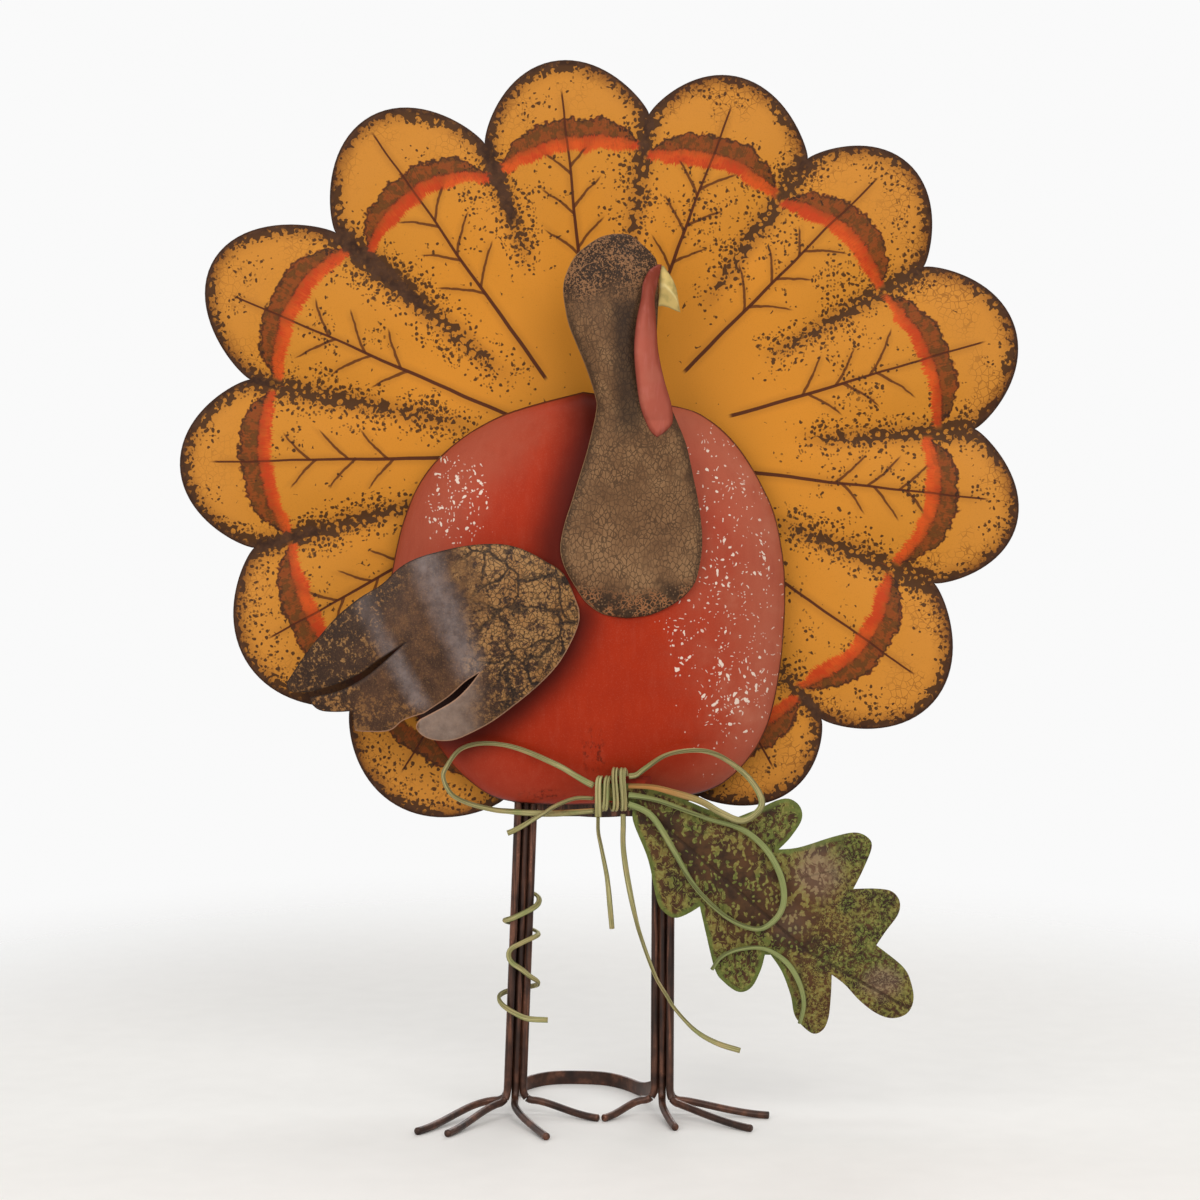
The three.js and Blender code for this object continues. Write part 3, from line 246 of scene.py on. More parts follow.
def makeStage():
    v = stageValues
    scene = bpy.context.scene
    scene.view_settings.view_transform = "Standard"
    camera = scene.camera = addObject("camera", bpy.data.cameras.new("camera"))
    camera.data.lens, camera.data.shift_y = v["lens"], v["shift"]
    camera.data.sensor_width, camera.data.clip_end = 36, 50
    camera.location = (shiftAcross, shiftDepth - v["cameraDistance"], v["cameraHeight"])
    camera.rotation_euler = (math.pi / 2, 0, 0)
    for name, (spot, aim, size, power, colour) in v["lights"].items():
        data = bpy.data.lights.new(name, "AREA")
        data.shape, data.energy, data.color = "RECTANGLE", power, colour
        data.size, data.size_y = size
        light = addObject(name, data)
        light.location = spot
        light.rotation_euler = (Vector((0, 0, aim)) - Vector(spot)).to_track_quat("-Z", "Y").to_euler()

    # The camera and mirrored rays see the backdrop, and the rest is lit by the sky
    world = scene.world = bpy.data.worlds.new("backdrop")
    world.use_nodes = True
    Term.tree = world.node_tree
    Term.tree.nodes.clear()
    rays = node("LightPath").socket.node.outputs
    either = most(*[Term(rays[f"Is {kind} Ray"]) for kind in ("Camera", "Glossy", "Transmission")])
    lit = node("Background", {0: v["sky"], 1: v["skyPower"]})
    seen = node("Background", {0: v["backdrop"]})
    node("OutputWorld", {0: node("MixShader", {0: either, 1: lit, 2: seen})})

    # The floor fades out with distance from the figure
    bpy.ops.mesh.primitive_plane_add(size=8)
    floor = bpy.context.object
    floor.name = "floor"
    p = begin("paleFloor", v)
    x, y, _ = split(p)
    lay(noise(p, 30, 4), "grain", "floor")
    far = rise(maths("SQRT", x * x + (y * 0.8) * (y * 0.8)), *v["floorFade"])
    shaders = {0: far, 1: surface(0.8), 2: node("BsdfTransparent")}
    node("OutputMaterial", {0: node("MixShader", shaders)})
    floor.data.materials.append(Term.material)


# Faces of a grid of points, row by row
def gridFaces(rows, columns, wrap=False):
    i, j = np.meshgrid(np.arange(rows - 1), np.arange(columns if wrap else columns - 1), indexing="ij")
    k = (j + 1) % columns
    return table(i * columns + j, i * columns + k, (i + 1) * columns + k, (i + 1) * columns + j)


# The first and last ring of a tube as faces
def endFaces(rings, sides):
    return [np.arange(sides)[::-1][None], (rings - 1) * sides + np.arange(sides)[None]]


# A mesh in the place of its solid: groups of faces, and a triple of values at each point for each field
def makeObject(name, solid, points, faces, materials, slots=None, fields=None, smooth=True):
    mesh = bpy.data.meshes.new(name)
    mesh.from_pydata(points.tolist(), [], [face for group in faces for face in group.tolist()])
    for material in materials:
        mesh.materials.append(material)
    if slots is not None:
        mesh.polygons.foreach_set("material_index", slots)
    mesh.polygons.foreach_set("use_smooth", np.full(len(mesh.polygons), smooth))
    for key, values in (fields or {}).items():
        made = mesh.attributes.new(key, "FLOAT_VECTOR", "POINT")
        made.data.foreach_set("vector", np.ascontiguousarray(values, dtype=np.float32).ravel())
    mesh.validate()
    mesh.update()
    made = addObject(name, mesh)
    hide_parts(solid)
    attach(made, "root")
    return made


# A sheet with a front, a back and a rim wall between their boundary loops
def makeSheet(name, solid, front, back, faces, loop, materials, fields):
    count, edge = len(front), len(loop)
    here = 2 * count + np.arange(edge)
    ahead = np.roll(here, -1)
    points = np.concatenate([front, back, front[loop], back[loop]])
    groups = [faces, faces[:, ::-1] + count, table(here, ahead, edge + ahead, edge + here)]
    slots = np.repeat([0, 1, 0], [len(faces), len(faces), edge])
    spread = {key: np.concatenate([v, v, v[loop], v[loop]]) for key, v in fields.items()}
    return makeObject(name, solid, points, groups, materials, slots, spread)


# Distances are worked out for this many points at a time
batch = 4000


# Distance in the plane from points to a closed outline
def edgeDistance(points, outline):
    run = np.roll(outline, -1, axis=0) - outline
    size = np.maximum((run ** 2).sum(-1), 1e-9)
    out = np.empty(len(points))
    for low in range(0, len(points), batch):
        off = points[low:low + batch, None, :] - outline[None]
        along = clamp((off * run[None]).sum(-1) / size[None])
        gap = off - along[..., None] * run[None]
        out[low:low + batch] = np.sqrt((gap ** 2).sum(-1).min(axis=1))
    return out


# The same distance, counted as negative for points inside the outline
def signedDistance(points, outline):
    a, b = outline, np.roll(outline, -1, axis=0)
    climb = np.where(np.abs(b[:, 1] - a[:, 1]) < 1e-9, 1e-9, b[:, 1] - a[:, 1])
    inside = np.zeros(len(points), bool)
    for low in range(0, len(points), batch):
        x, y = points[low:low + batch, :1], points[low:low + batch, 1:]
        crossed = ((a[:, 1] > y) != (b[:, 1] > y)) & (x < a[:, 0] + (b - a)[:, 0] * (y - a[:, 1]) / climb)
        inside[low:low + batch] = crossed.sum(axis=1) % 2 == 1
    return np.where(inside, -1, 1) * edgeDistance(points, outline)


# A smooth curve through points, each stretch a cubic between its neighbours' directions
def curveThrough(points, count):
    points = np.asarray(points, dtype=float)
    padded = np.concatenate([points[:1], points, points[-1:]])
    t = np.linspace(0, len(points) - 1, count)
    k = np.minimum(t.astype(int), len(points) - 2)
    s = (t - k)[:, None]
    a, b, c, d = [padded[k + i] for i in range(4)]
    return 0.5 * (2 * b + (c - a) * s + (2 * a - 5 * b + 4 * c - d) * s ** 2 + (3 * b - a - 3 * c + d) * s ** 3)


# Length along a path up to each of its points
def runAlong(path):
    return np.concatenate([[0], np.cumsum(np.linalg.norm(np.diff(path, axis=0), axis=1))])


# The points of a path at given lengths along it
def atMarks(path, marks):
    run = runAlong(path)
    return np.stack([np.interp(marks, run, column) for column in path.T], -1)


# The smooth curve with its points set evenly along its length
def evenCurve(points, step, fineness=40, least=8):
    fine = curveThrough(points, fineness * len(points))
    length = runAlong(fine)[-1]
    return atMarks(fine, np.linspace(0, length, max(least, int(length / step) + 1)))


# Directions along a path, and a side direction carried along it without twist
def carriedFrames(path, side=(1, 0, 0), level=False):
    along = np.gradient(path, axis=0)
    along /= np.linalg.norm(along, axis=1, keepdims=True)
    sides = np.empty_like(path)
    side = np.array(side, dtype=float)
    for i, direction in enumerate(along):
        if level and abs(direction[2]) < 0.7:
            side = np.cross(direction, (0, 0, 1))
        side = side - direction * np.dot(side, direction)
        side = side / np.linalg.norm(side)
        sides[i] = side
    return along, sides, np.cross(along, sides)


# A round or oval tube along a path: radius across and radius through, turned by an angle at each point,
# with five low ridges along it where a ridge height is given
def tubeParts(path, wide, thin, turn, sides, level=False, start=(1, 0, 0), ridge=0.0):
    _, side, other = carriedFrames(path, start, level)
    angle = np.linspace(0, 2 * np.pi, sides, endpoint=False)
    bumps = 1 + ridge * np.cos(5 * angle + 0.7)
    c, s = [(wave * bumps)[None, :, None] for wave in (np.cos(angle), np.sin(angle))]
    turn, wide, thin = [np.broadcast_to(value, len(path))[:, None] for value in (turn, wide, thin)]
    u = wide * (side * np.cos(turn) + other * np.sin(turn))
    v = thin * (other * np.cos(turn) - side * np.sin(turn))
    rings = path[:, None] + c * u[:, None] + s * v[:, None]
    return rings.reshape(-1, 3), [gridFaces(len(path), sides, wrap=True)] + endFaces(len(path), sides)


# Tubes joined in one piece of raffia; each has its points, its faces and its length, side and seed values
def joinTubes(name, solid, tubes, material):
    points, groups, fields = zip(*tubes)
    bases = np.cumsum([0] + [len(spots) for spots in points])
    faces = [group + base for base, each in zip(bases, groups) for group in each]
    return makeObject(name, solid, place(*np.concatenate(points).T), faces, [material],
                      fields={"strand": np.concatenate(fields)})


# Raffia: every strand is a bundle of thin dyed fibres, turned slowly round each other
raffiaValues = {
    "turnLength": 420, "step": 2.5, "ridge": 0.07, "sides": 20,
    # Each fibre's place out from the middle and its half width and half thickness, as shares of the diameter
    "fibres": [(0.0, 0.44, 0.3), (0.2, 0.24, 0.2), (-0.24, 0.2, 0.19)],
    "light": (190, 182, 132), "middle": (158, 150, 100), "dark": (104, 98, 60), "straw": (182, 158, 110),
    "green": (122, 142, 84), "copper": (186, 118, 58), "shadow": (66, 62, 34),
}

raffiaRoutes = {
    "raffia_loop_left": (6.0, "object", [
        [-5.5, 52, 291.4], [-12, 52.5, 294.8], [-21.3, 52.5, 300.2], [-37.5, 52.5, 309.5], [-70.7, 50.5, 323],
        [-98, 48.5, 327], [-118.6, 45.5, 321.8], [-130.5, 42, 307.2], [-134, 38.5, 297], [-127.5, 35, 282.5],
        [-113, 30.5, 273.8], [-92, 24, 267.5], [-78, 20, 265.5], [-61.5, 18, 264], [-47, 21.5, 264],
        [-34.4, 28, 265], [-19, 43, 267.5], [-5.5, 52, 269.5]]),
    "raffia_loop_right": (6.0, "object", [
        [24.7, 57.5, 299.6], [31, 57.8, 300.6], [38, 58, 306], [57, 56, 318], [81.5, 54.5, 321.5],
        [100, 54.5, 317.5], [118.7, 56, 305.5], [130.5, 59, 293], [137, 63, 279], [132, 66, 269.5],
        [119, 67, 263.5], [101.5, 67, 270.4], [84.6, 66, 279.7], [59.3, 63, 287.3], [42, 60.5, 291],
        [24.4, 57.5, 291.4]]),
    "raffia_loop_low": (6.0, "object", [
        [24.2, 57.5, 283.8], [36, 58, 282.3], [51, 59, 279], [73.8, 59.5, 270.5], [95, 60, 263],
        [114.5, 60, 257.5], [129, 60.5, 249.5], [143.3, 61, 235], [153.5, 61.5, 214.6], [156, 61.5, 196],
        [151, 61.5, 181.6], [138, 61, 171.4], [124.6, 61, 172.3], [108.5, 60.5, 179.9], [91.6, 60.5, 194.3],
        [77.2, 60, 211.2], [62.7, 59.5, 236.7], [47.5, 59, 262], [38, 58.5, 271], [24.2, 57.5, 276.4]]),
    "raffia_tail_long": (5.0, "bare", [
        [19.6, 54, 267.3], [19.6, 53.5, 258], [19.6, 50, 240], [22.2, 47, 219.5], [26.5, 44, 195.5],
        [31.6, 41, 172.5], [35.9, 39, 158], [42, 36, 140], [48.8, 34, 123], [56.6, 33, 110], [65, 33, 97],
        [82, 34, 79], [99.4, 36, 69], [120, 38, 63]]),
    "raffia_tail_short": (5.0, "bare", [
        [-1.7, 56.6, 264.6], [-1.5, 56, 252], [1.6, 51, 236], [6, 45, 212.5], [8.5, 41, 187],
        [10.2, 39, 167.5]]),
    "raffia_tail_left": (5.0, "bare", [
        [-5.5, 52, 280.5], [-21, 47.5, 280], [-38, 38, 272.5], [-47, 31, 266], [-57, 22, 259], [-66, 16.2, 253],
        [-74, 14.2, 248.5], [-80, 13.8, 246]]),
    "raffia_tail_leg": (5.0, "bare", [
        [-64, -8, 194], [-54.5, -4.5, 189], [-53, 2, 185], [-56.5, 9.5, 181.5], [-66, 14.2, 177],
        [-76, 14.2, 172.5], [-82.5, 7.5, 169.5], [-81.5, -1, 167], [-76, -7.5, 164.5], [-66, -8.5, 161.5],
        [-56.5, -6, 158.5], [-53.5, 1, 157], [-57, 9.5, 155.5], [-67, 14.2, 151.5], [-77, 14.6, 146],
        [-79, 15, 140], [-76, 15.5, 134], [-68, 15, 128.5], [-60.5, 12.5, 122], [-54, 6, 116.5],
        [-54.5, -3, 112], [-62, -9, 109], [-73, -9.5, 107], [-83.5, -5, 105], [-88, 3, 102], [-84, 12, 97],
        [-74, 18, 91.5], [-62, 21, 87], [-45, 22, 86]]),
    "raffia_strand_leaf": (5.0, "bare", [
        [95, 57.6, 135.9], [103.4, 58.6, 146.9], [118.7, 59.1, 153.2], [139.9, 59.1, 153.7],
        [158.5, 58.6, 141.8], [169.6, 58.1, 123.1], [173, 57.6, 106], [169.6, 57.1, 90]]),
}


def raffiaMaterial():
    begin("dyedRaffia", raffiaValues)
    run, around, seed = field("strand")
    fibres = noise(join(run * 0.006, around * 3.0, seed * 7.0), 4.0, 3, 0.6)
    patches = noise(join(run * 0.012, seed * 9.0, 0.0), 3.0, 2)
    lay(rise(fibres, 0.34, 0.52), "middle", "dark")
    lay(rise(fibres, 0.5, 0.64), "light")
    lay(rise(patches, 0.5, 0.66) * 0.6, "straw")
    # The low loop and the strand on the leaf are greener, and the right loop turns copper towards its end
    greener = most(rise(abs(seed - 3.3), 0.7, 0.5), rise(abs(seed - 8.3), 0.7, 0.5))
    lay(most(greener * 0.6, rise(patches, 0.44, 0.34) * 0.4), "green")
    coppery = rise(abs(seed - 2.3), 0.7, 0.5) * rise(run + fibres.off * 60, 175, 245)
    lay(coppery * 0.75, "copper")
    # Painted shade along the two edges of each fibre
    edgeShade = rise(abs(around - 0.5) + fibres.off * 0.3, 0.3, 0.47)
    lay(edgeShade * 0.7, "shadow")
    return finish(0.46 + fibres * 0.2, 0.0, fibres, 0.4)


# One bundle: fibres set round the middle of the strand, wandering a little as they turn
def makeBundle(solid, path, diameter, material, seed):
    v = raffiaValues
    rng = np.random.default_rng(seed)
    _, side, other = carriedFrames(path)
    run = runAlong(path)
    sides = v["sides"]
    twist = rng.uniform(0, 6) + run / v["turnLength"] * 2 * np.pi
    tubes = []
    for k, (out, wide, thin) in enumerate(v["fibres"]):
        sway = sum(rng.uniform(0.1, 0.3) * np.sin(run / rng.uniform(15, 50) + rng.uniform(0, 6))
                   for _ in range(3))
        angle = twist + sway * (1 if out else 0.4)
        reach = diameter * out * (1 + 0.25 * np.sin(run / rng.uniform(18, 50) + rng.uniform(0, 6)))
        middle = path + reach[:, None] * (np.cos(angle)[:, None] * side + np.sin(angle)[:, None] * other)
        width = diameter * wide * (1 + 0.07 * np.sin(run / 13 + rng.uniform(0, 6)))
        points, faces = tubeParts(middle, width, diameter * thin, angle, sides, ridge=v["ridge"])
        ring = np.abs(2 * np.arange(sides) / sides - 1)
        tubes.append((points, faces, table(run[:, None], ring, seed + 0.37 * k)))
    return joinTubes(solid + "_fibres", solid, tubes, material)


# The bow's strands. The winding, which ties the left loop, is passed in and not used here.
def makeRaffia(material, knot):
    for seed, (name, (diameter, farEnd, route)) in enumerate(raffiaRoutes.items()):
        path = evenCurve(route, raffiaValues["step"])
        bundle = makeBundle(name, path, diameter, material, seed + 1)
        points = place(*path.T)


# The winding: the same turns as the solid's, each turn laid with two fibres side by side
knotValues = {"start": -1.7, "pitch": 7.2, "turns": 3.75, "depth": 5.8, "rise": 17, "height": 288,
              "middle": 50.85, "diameter": 6.0, "drop": 7, "slant": 1.8, "step": 1.6, "apart": 2.7,
              "wide": 1.5, "thin": 1.2, "sway": 0.3, "ridge": 0.08, "sides": 16, "seed": 41}


# The run of the winding: squared turns side by side round the bracket, after a stub below the first one
def knotPath(shift, grow):
    v = knotValues
    turn = np.linspace(0, v["turns"], int(v["turns"] * 60))
    c, s = np.cos(2 * np.pi * turn), np.sin(2 * np.pi * turn)
    # The left wraps are lower at the top, and the right ones lean
    late = ease(clamp((turn - 1.5) / 0.5))
    up = (v["rise"] + grow) * np.sign(s) * np.sqrt(np.abs(s)) - v["drop"] * (1 - late) * np.maximum(s, 0)
    path = table(v["start"] + v["pitch"] * turn + shift - v["slant"] * late * up / v["rise"],
                 v["middle"] + (v["depth"] + grow) * np.sign(c) * np.sqrt(np.abs(c)), v["height"] + up)
    stub = table(v["start"] + shift, v["middle"] + v["depth"] + grow,
                 np.linspace(v["height"] - v["rise"] - v["diameter"], v["height"] - 1.2, 12))
    return evenCurve(np.concatenate([stub, path[1:]])[::3], v["step"])


def makeKnot(material):
    v = knotValues
    rng = np.random.default_rng(v["seed"])
    sides = v["sides"]
    tubes = []
    for k in range(2):
        path = knotPath((k - 0.5) * v["apart"], rng.uniform(-0.3, 0.4))
        run = runAlong(path)
        wave = v["sway"] * np.sin(run / rng.uniform(14, 30) + rng.uniform(0, 6))
        path = path + table(wave, 0, 0)
        points, faces = tubeParts(path, v["wide"] + v["sway"] * wave, v["thin"], wave, sides, ridge=v["ridge"])
        tubes.append((points, faces, table(run[:, None], np.arange(sides) / sides, 20 + 0.4 * k)))
    return joinTubes("raffia_winding", "raffia_knot", tubes, material)


# Tail fan
fanValues = {
    "reach": 357, "height": 573, "puff": 7, "flange": 3.7, "columns": 44, "lobeCurve": 0.8, "front": -6.175,
    # How far in the lip begins and how deep it rolls back; where the midribs end, and one longer one
    "lip": (1.2, 1.5), "ribEnd": 0.93, "longRib": (8, 0.97),
    "gold": (202, 132, 42), "amber": (211, 136, 40), "dusty": (202, 134, 54),
    "mist": (108, 60, 22), "dark": (50, 28, 16), "vein": (78, 34, 13), "rim": (76, 48, 30),
    "bandRed": (186, 52, 16), "bandOrange": (208, 78, 24), "bandBrown": (128, 58, 20), "bandDeep": (66, 30, 14),
    "back": (52, 36, 27), "backLight": (78, 52, 36), "backSpray": (104, 70, 46),
}
fanNotches = np.array([-105.5, -73.7, -50, -21, 4, 30.2, 55, 81.8, 110.3, 139.9, 167.8, 195, 225])
fanNotchShares = np.array([
    0.871, 0.868, 0.842, 0.875, 0.918, 0.915, 0.885, 0.842, 0.812, 0.845, 0.875, 0.875, 0.862])
fanTipShares = np.array([
    0.885, 0.945, 1.012, 1.03, 1.058, 1.035, 0.983, 0.967, 0.998, 1.055, 1.024, 0.998, 0.989])
# The share of its reach from which each lobe puffs up; the lobe between the legs stays flat
fanPuffStarts = np.array([1, 0.87, 0.5] + [0.42] * 8 + [0.5, 0.87])
# Where the midrib of each lobe lies and begins, and where its first side veins leave it and how far apart
fanMidribs = np.array([-90, -61, -34.8, -6.6, 16.5, 45, 69.4, 96, 125.3, 156.5, 181, 209, 238])
fanRibStarts = np.array([60, 60, 60, 60, 116, 101, 90, 90, 79, 60, 60, 60, 60])
fanVeinStarts = np.array([400, 400, 400, 209, 186, 180, 176, 179, 176, 186, 182, 190, 400])
fanVeinSteps = np.array([34, 34, 34, 28, 31, 34, 34, 35, 35, 34, 34, 34, 34])
# How far in each notch's sponged streak runs, the share of it that is solid dark, and its half width
fanStreaks = np.array([
    [40, 0.3, 6], [60, 0.3, 6], [110, 0.3, 7], [138, 0, 9], [138, 0, 9], [143, 0.1, 8], [140, 0.1, 9],
    [120, 0.3, 8], [100, 0.75, 9], [177, 0.6, 11], [177, 0.15, 9], [150, 0.4, 9], [60, 0.4, 8]])
# Radius of the border between the painted band's red and brown: low end, middle and high end of each lobe
fanBands = np.array([
    [285, 285, 285], [278, 278, 278], [267, 286, 273], [276, 298, 288], [299, 302, 285], [288, 294, 273],
    [278, 281.5, 268], [275, 278.5, 268], [262, 285, 269], [286, 303, 292], [294, 298, 282], [283, 293, 290],
    [288, 290, 288]])


# The fan: every lobe bulges from its notch to its tip and back by a power of a sine, in rings of shares
def makeFan():
    v = fanValues
    lobes, n = len(fanNotches), v["columns"]
    lobe = np.repeat(np.arange(lobes), n)
    t = np.tile(closeAtEnds(np.arange(n) / n), lobes)
    nextNotch = np.append(fanNotches[1:], fanNotches[0] + 360)
    nextShares = np.roll(fanNotchShares, -1)
    degrees = fanNotches[lobe] + (nextNotch - fanNotches)[lobe] * t
    c, s = np.cos(np.radians(degrees)), np.sin(np.radians(degrees))
    notch = fanNotchShares[lobe] * (1 - t) + nextShares[lobe] * t
    bump = np.sin(np.pi * t) ** v["lobeCurve"]
    reach = v["reach"] * (notch + (fanTipShares[lobe] - notch) * bump)

    # Puffed lobes, in wide rings behind the body and close ones outside it, then a lip rolled back to a flange
    shares = np.concatenate([[0, 0.1, 0.2, 0.3, 0.38], np.linspace(0.42, 0.99, 76), [0.9965]])[:, None]
    swell = ease(clamp((shares - fanPuffStarts[lobe]) / 0.3))
    depth = v["front"] + v["puff"] * ease(np.sin(np.pi * t)) * swell
    bend = np.radians([25, 50, 75, 90])[:, None]
    inset, lip = v["lip"]
    radius = np.concatenate([shares * (reach - inset), reach - inset * (1 - np.sin(bend)), reach[None]])
    flange = depth[-1:] - v["flange"]
    depth = np.concatenate([depth, depth[-1] - lip * (1 - np.cos(bend)), flange])
    inner = np.maximum(radius - gauge, 0)
    behind = np.concatenate([depth[:-1] - gauge, flange])
    front = place(radius * c, depth, v["height"] + radius * s)
    back = place(inner * c, behind, v["height"] + inner * s)

    plane = table(radius * c, radius * s)
    rim = edgeDistance(plane, table(reach * c, reach * s)).reshape(radius.shape)
    rim[-len(bend) - 1:] = 0
    sideways = radius * np.sin(np.radians(degrees - fanMidribs[lobe]))
    near = t < 0.5
    valley = radius * np.sin(np.radians(np.where(near, degrees - fanNotches[lobe], nextNotch[lobe] - degrees)))
    notchReach = v["reach"] * np.where(near, fanNotchShares[lobe], nextShares[lobe])
    streak, solid, wide = np.where(near[:, None], fanStreaks[lobe], np.roll(fanStreaks, -1, axis=0)[lobe]).T
    slit = slitDistance(plane + [0, v["height"]]).reshape(radius.shape)
    q = 2 * t - 1
    low, centre, high = fanBands[lobe].T
    border = centre + (high - low) / 2 * q + ((low + high) / 2 - centre) * q ** 2
    ribEnd = v["reach"] * fanTipShares[lobe] * np.where(lobe == v["longRib"][0], v["longRib"][1], v["ribEnd"])
    fields = {
        "fanPlace": table(sideways, radius, radius - border),
        "fanEdge": table(rim, valley, (notchReach - radius) / streak),
        "fanLobe": table(q, lobe.astype(float), ribEnd - radius),
        "fanVeins": table(radius - fanRibStarts[lobe], fanVeinStarts[lobe], fanVeinSteps[lobe]),
        "fanStreak": table(solid, wide, slit),
    }
    rows, columns = radius.shape
    makeSheet("fan_sheet", "tail_fan", front, back, gridFaces(rows, columns, wrap=True)[:, ::-1],
              (rows - 1) * columns + np.arange(columns), [fanMaterial(), backMaterial()], fields)


def fanMaterial():
    p = begin("spongedOchre", fanValues)
    across, along, band = field("fanPlace")
    edge, valley, depth = field("fanEdge")
    level, lobe, ribEnd = field("fanLobe")
    ribStart, veinStart, veinStep = field("fanVeins")
    solid, wide, slit = field("fanStreak")
    moved = warped(p, 110, 0.006)
    grains = noise(p, 900, 2, 0.6)
    blobs = noise(p, 260, 1)
    middle = noise(p, 85, 2, 0.6)
    patchy = noise(p, 32, 2)
    broad = noise(p, 13, 2)
    bubbles, _ = spots(moved, 165)
    dots, dotDrawn = spots(moved, 215)
    pores, poreDrawn = spots(moved, 370)
    uneven = patchy.off * 34 + middle.off * 14

    # Ground: amber near the body, gold further out, glazed brown along the rim and round the streaks
    lay(rise(along + broad.off * 160, 280, 150), "amber", "gold")
    lay(rise(band, -4, 34) * 0.5, "dusty")
    running = rise(depth + patchy.off * 0.3, 1.2, 0.95)
    rimGlaze = rise(edge + uneven * 0.4, 19, 2) * (0.4 + rise(patchy, 0.36, 0.62) * 0.6)
    streakGlaze = rise(valley - wide * (1.1 - depth * 0.6) + uneven * 0.2, 8, -3) * running
    glaze = most(rimGlaze * 0.95, streakGlaze * 0.4)
    lay(glaze * (0.6 + grains * 0.6), "mist")
    lay(rise(grains, 0.52, 0.75) * 0.14, "mist")

    # Painted band: red within, brown outside with a scalloped border, thinning towards its ends
    rag = middle.off * 7 + blobs.off * 9
    ends = rise(abs(level) + middle.off * 0.14, 0.98, 0.9)
    teeth = noise(join(across / along * 70, lobe * 5.0, along * 0.012), 5, 2) - 0.5
    drift = noise(join(lobe * 2.7, level * 1.3, 0.0), 2.2, 2) - 0.5
    broadRed = noise(join(lobe * 2.7, 0.3, 0.0), 3, 0) * 9 + 8 - maths("POWER", abs(level), 4.0) * 7
    red = rise(band + broadRed + drift * 14 + rag * 0.4 + teeth * 13, -1.2, 0.6)
    seam = band + middle.off * 5 + teeth * 7 + drift * 5
    red *= rise(seam, 1, -1) * ends * rise(lobe, 11.6, 11.4)
    thick = (1 - maths("POWER", abs(level) * 1.12, 4.0)) * 16
    beyond = band + rag + drift * 12 - thick
    brown = rise(seam, -2.2, -0.4) * rise(beyond, 1.0, -1.0)
    mottle = noise(p, 150, 3, 0.65)
    brownTone = mix(rise(mottle + teeth * 0.3, 0.42, 0.58), "bandDeep", "bandBrown")
    redTone = mix(rise(patchy + teeth * 0.5 + mottle.off * 0.4, 0.36, 0.6), "bandRed", "bandOrange")
    bleed = rise(seam + mottle.off * 16, -9, 1)
    lay(red * 0.94, mix(bleed * 0.6, redTone, "bandBrown"))
    lay(brown * (0.7 + mottle * 0.4), brownTone)
    lay(brown * rise(abs(beyond + 1.5), 1.8, 0.4) * 0.7, "dark")

    # Midrib and side veins
    wobble = (noise(p, 22, 1) - 0.5) * 3
    line = abs(across + wobble)
    half = rise(along, 330, 110) * 0.85 + 0.75
    rib = rise(line - half, 0.3, -0.2) * rise(ribStart, 0, 5) * rise(ribEnd, 0, 8)
    side = maths("SIGN", across)
    leaning = along - line * 1.11 - veinStart + side * 3 + middle.off * 4 + line * line * 0.006
    phase = maths("PINGPONG", leaning, veinStep * 0.5) / 1.49
    long = noise(join(lobe * 3.1, leaning * 0.03, side), 3, 0) * 26 + 14
    taper = 1.25 - line / long * 0.75
    row = rise(leaning, -9, -6) * rise(leaning - veinStep * 2.4, 3, 0)
    vein = rise(phase - taper, 0.3, -0.25) * rise(line - long, 0, -5) * row
    vein *= rise(band, -10, -14)
    beside = rise(line - half, 7, 0) * rise(ribStart, 0, 20) * rise(ribEnd, 0, 20)
    beside = most(beside, rise(phase, 6, 0) * rise(line - long, 0, -8) * row)
    lay(beside * 0.2, "vein")
    lay(vein * 0.86, "vein")
    lay(rib * (0.97 - red * 0.3), "vein")

    # Sponging: loose dots, which thicken into dark paint with light bubbles near the rim and in the streaks
    coreWidth = wide * (0.42 + solid * 0.4 - depth * 0.42)
    core = rise(valley - coreWidth + middle.off * 10 + blobs.off * 8, 1.2, -1.2)
    core *= rise(depth + patchy.off * 0.2 - solid, 0.07, -0.07)
    rimShare = rise(edge + uneven * 0.85, 15, 2)
    streak = rise(valley - wide * (1.15 - depth * 0.7) + uneven * 0.2 + blobs.off * 4, 4, -4)
    streak *= rise(depth + patchy.off * 0.3, 1.1, 0.96)
    clustered = noise(p, 24, 2)
    fringe = rise(valley - wide * (1.3 - depth * 0.3) + uneven * 0.4, 17, 1)
    fringe *= rise(depth + patchy.off * 0.5, 1.3, 0.95) * (0.4 + rise(clustered, 0.4, 0.6) * 0.6)
    loose = rise(band, -2, -10) * rise(along + broad.off * 80, 180, 225)
    loose *= rise(clustered + patchy.off * 0.4, 0.46, 0.66)
    outside = rise(edge, 60, 20) * rise(band, 14, 22) * rise(clustered, 0.5, 0.68)
    outside = most(outside, rise(lobe, 10.4, 10.6) * rise(band, 12, 22) * rise(edge, 66, 14))
    scattered = most(rimShare * 0.7, fringe * 0.72, loose * 0.44, outside * 0.4)
    dotSize = 0.17 + blobs * 0.16 + scattered * 0.14
    dotted = rise(dots + middle.off * 0.2 - dotSize, 0.04, -0.04)
    dotted *= rise(dotDrawn + scattered * 1.15, 1.0, 1.03)
    powder = most(scattered, glaze * 0.6)
    powdered = rise(pores + blobs.off * 0.3, 0.36, 0.26) * rise(poreDrawn + powder * 0.8, 1.0, 1.03)
    dense = most(rimShare * 0.84, streak * least(0.98 - depth * 0.28, 0.88))
    bubbled = rise(bubbles + dense * 0.75 + blobs.off * 0.3, 0.92, 0.98)
    sponged = most(bubbled, dotted, powdered * 0.7) * (1 - red * 0.85)
    lay(sponged * 0.9, "dark")

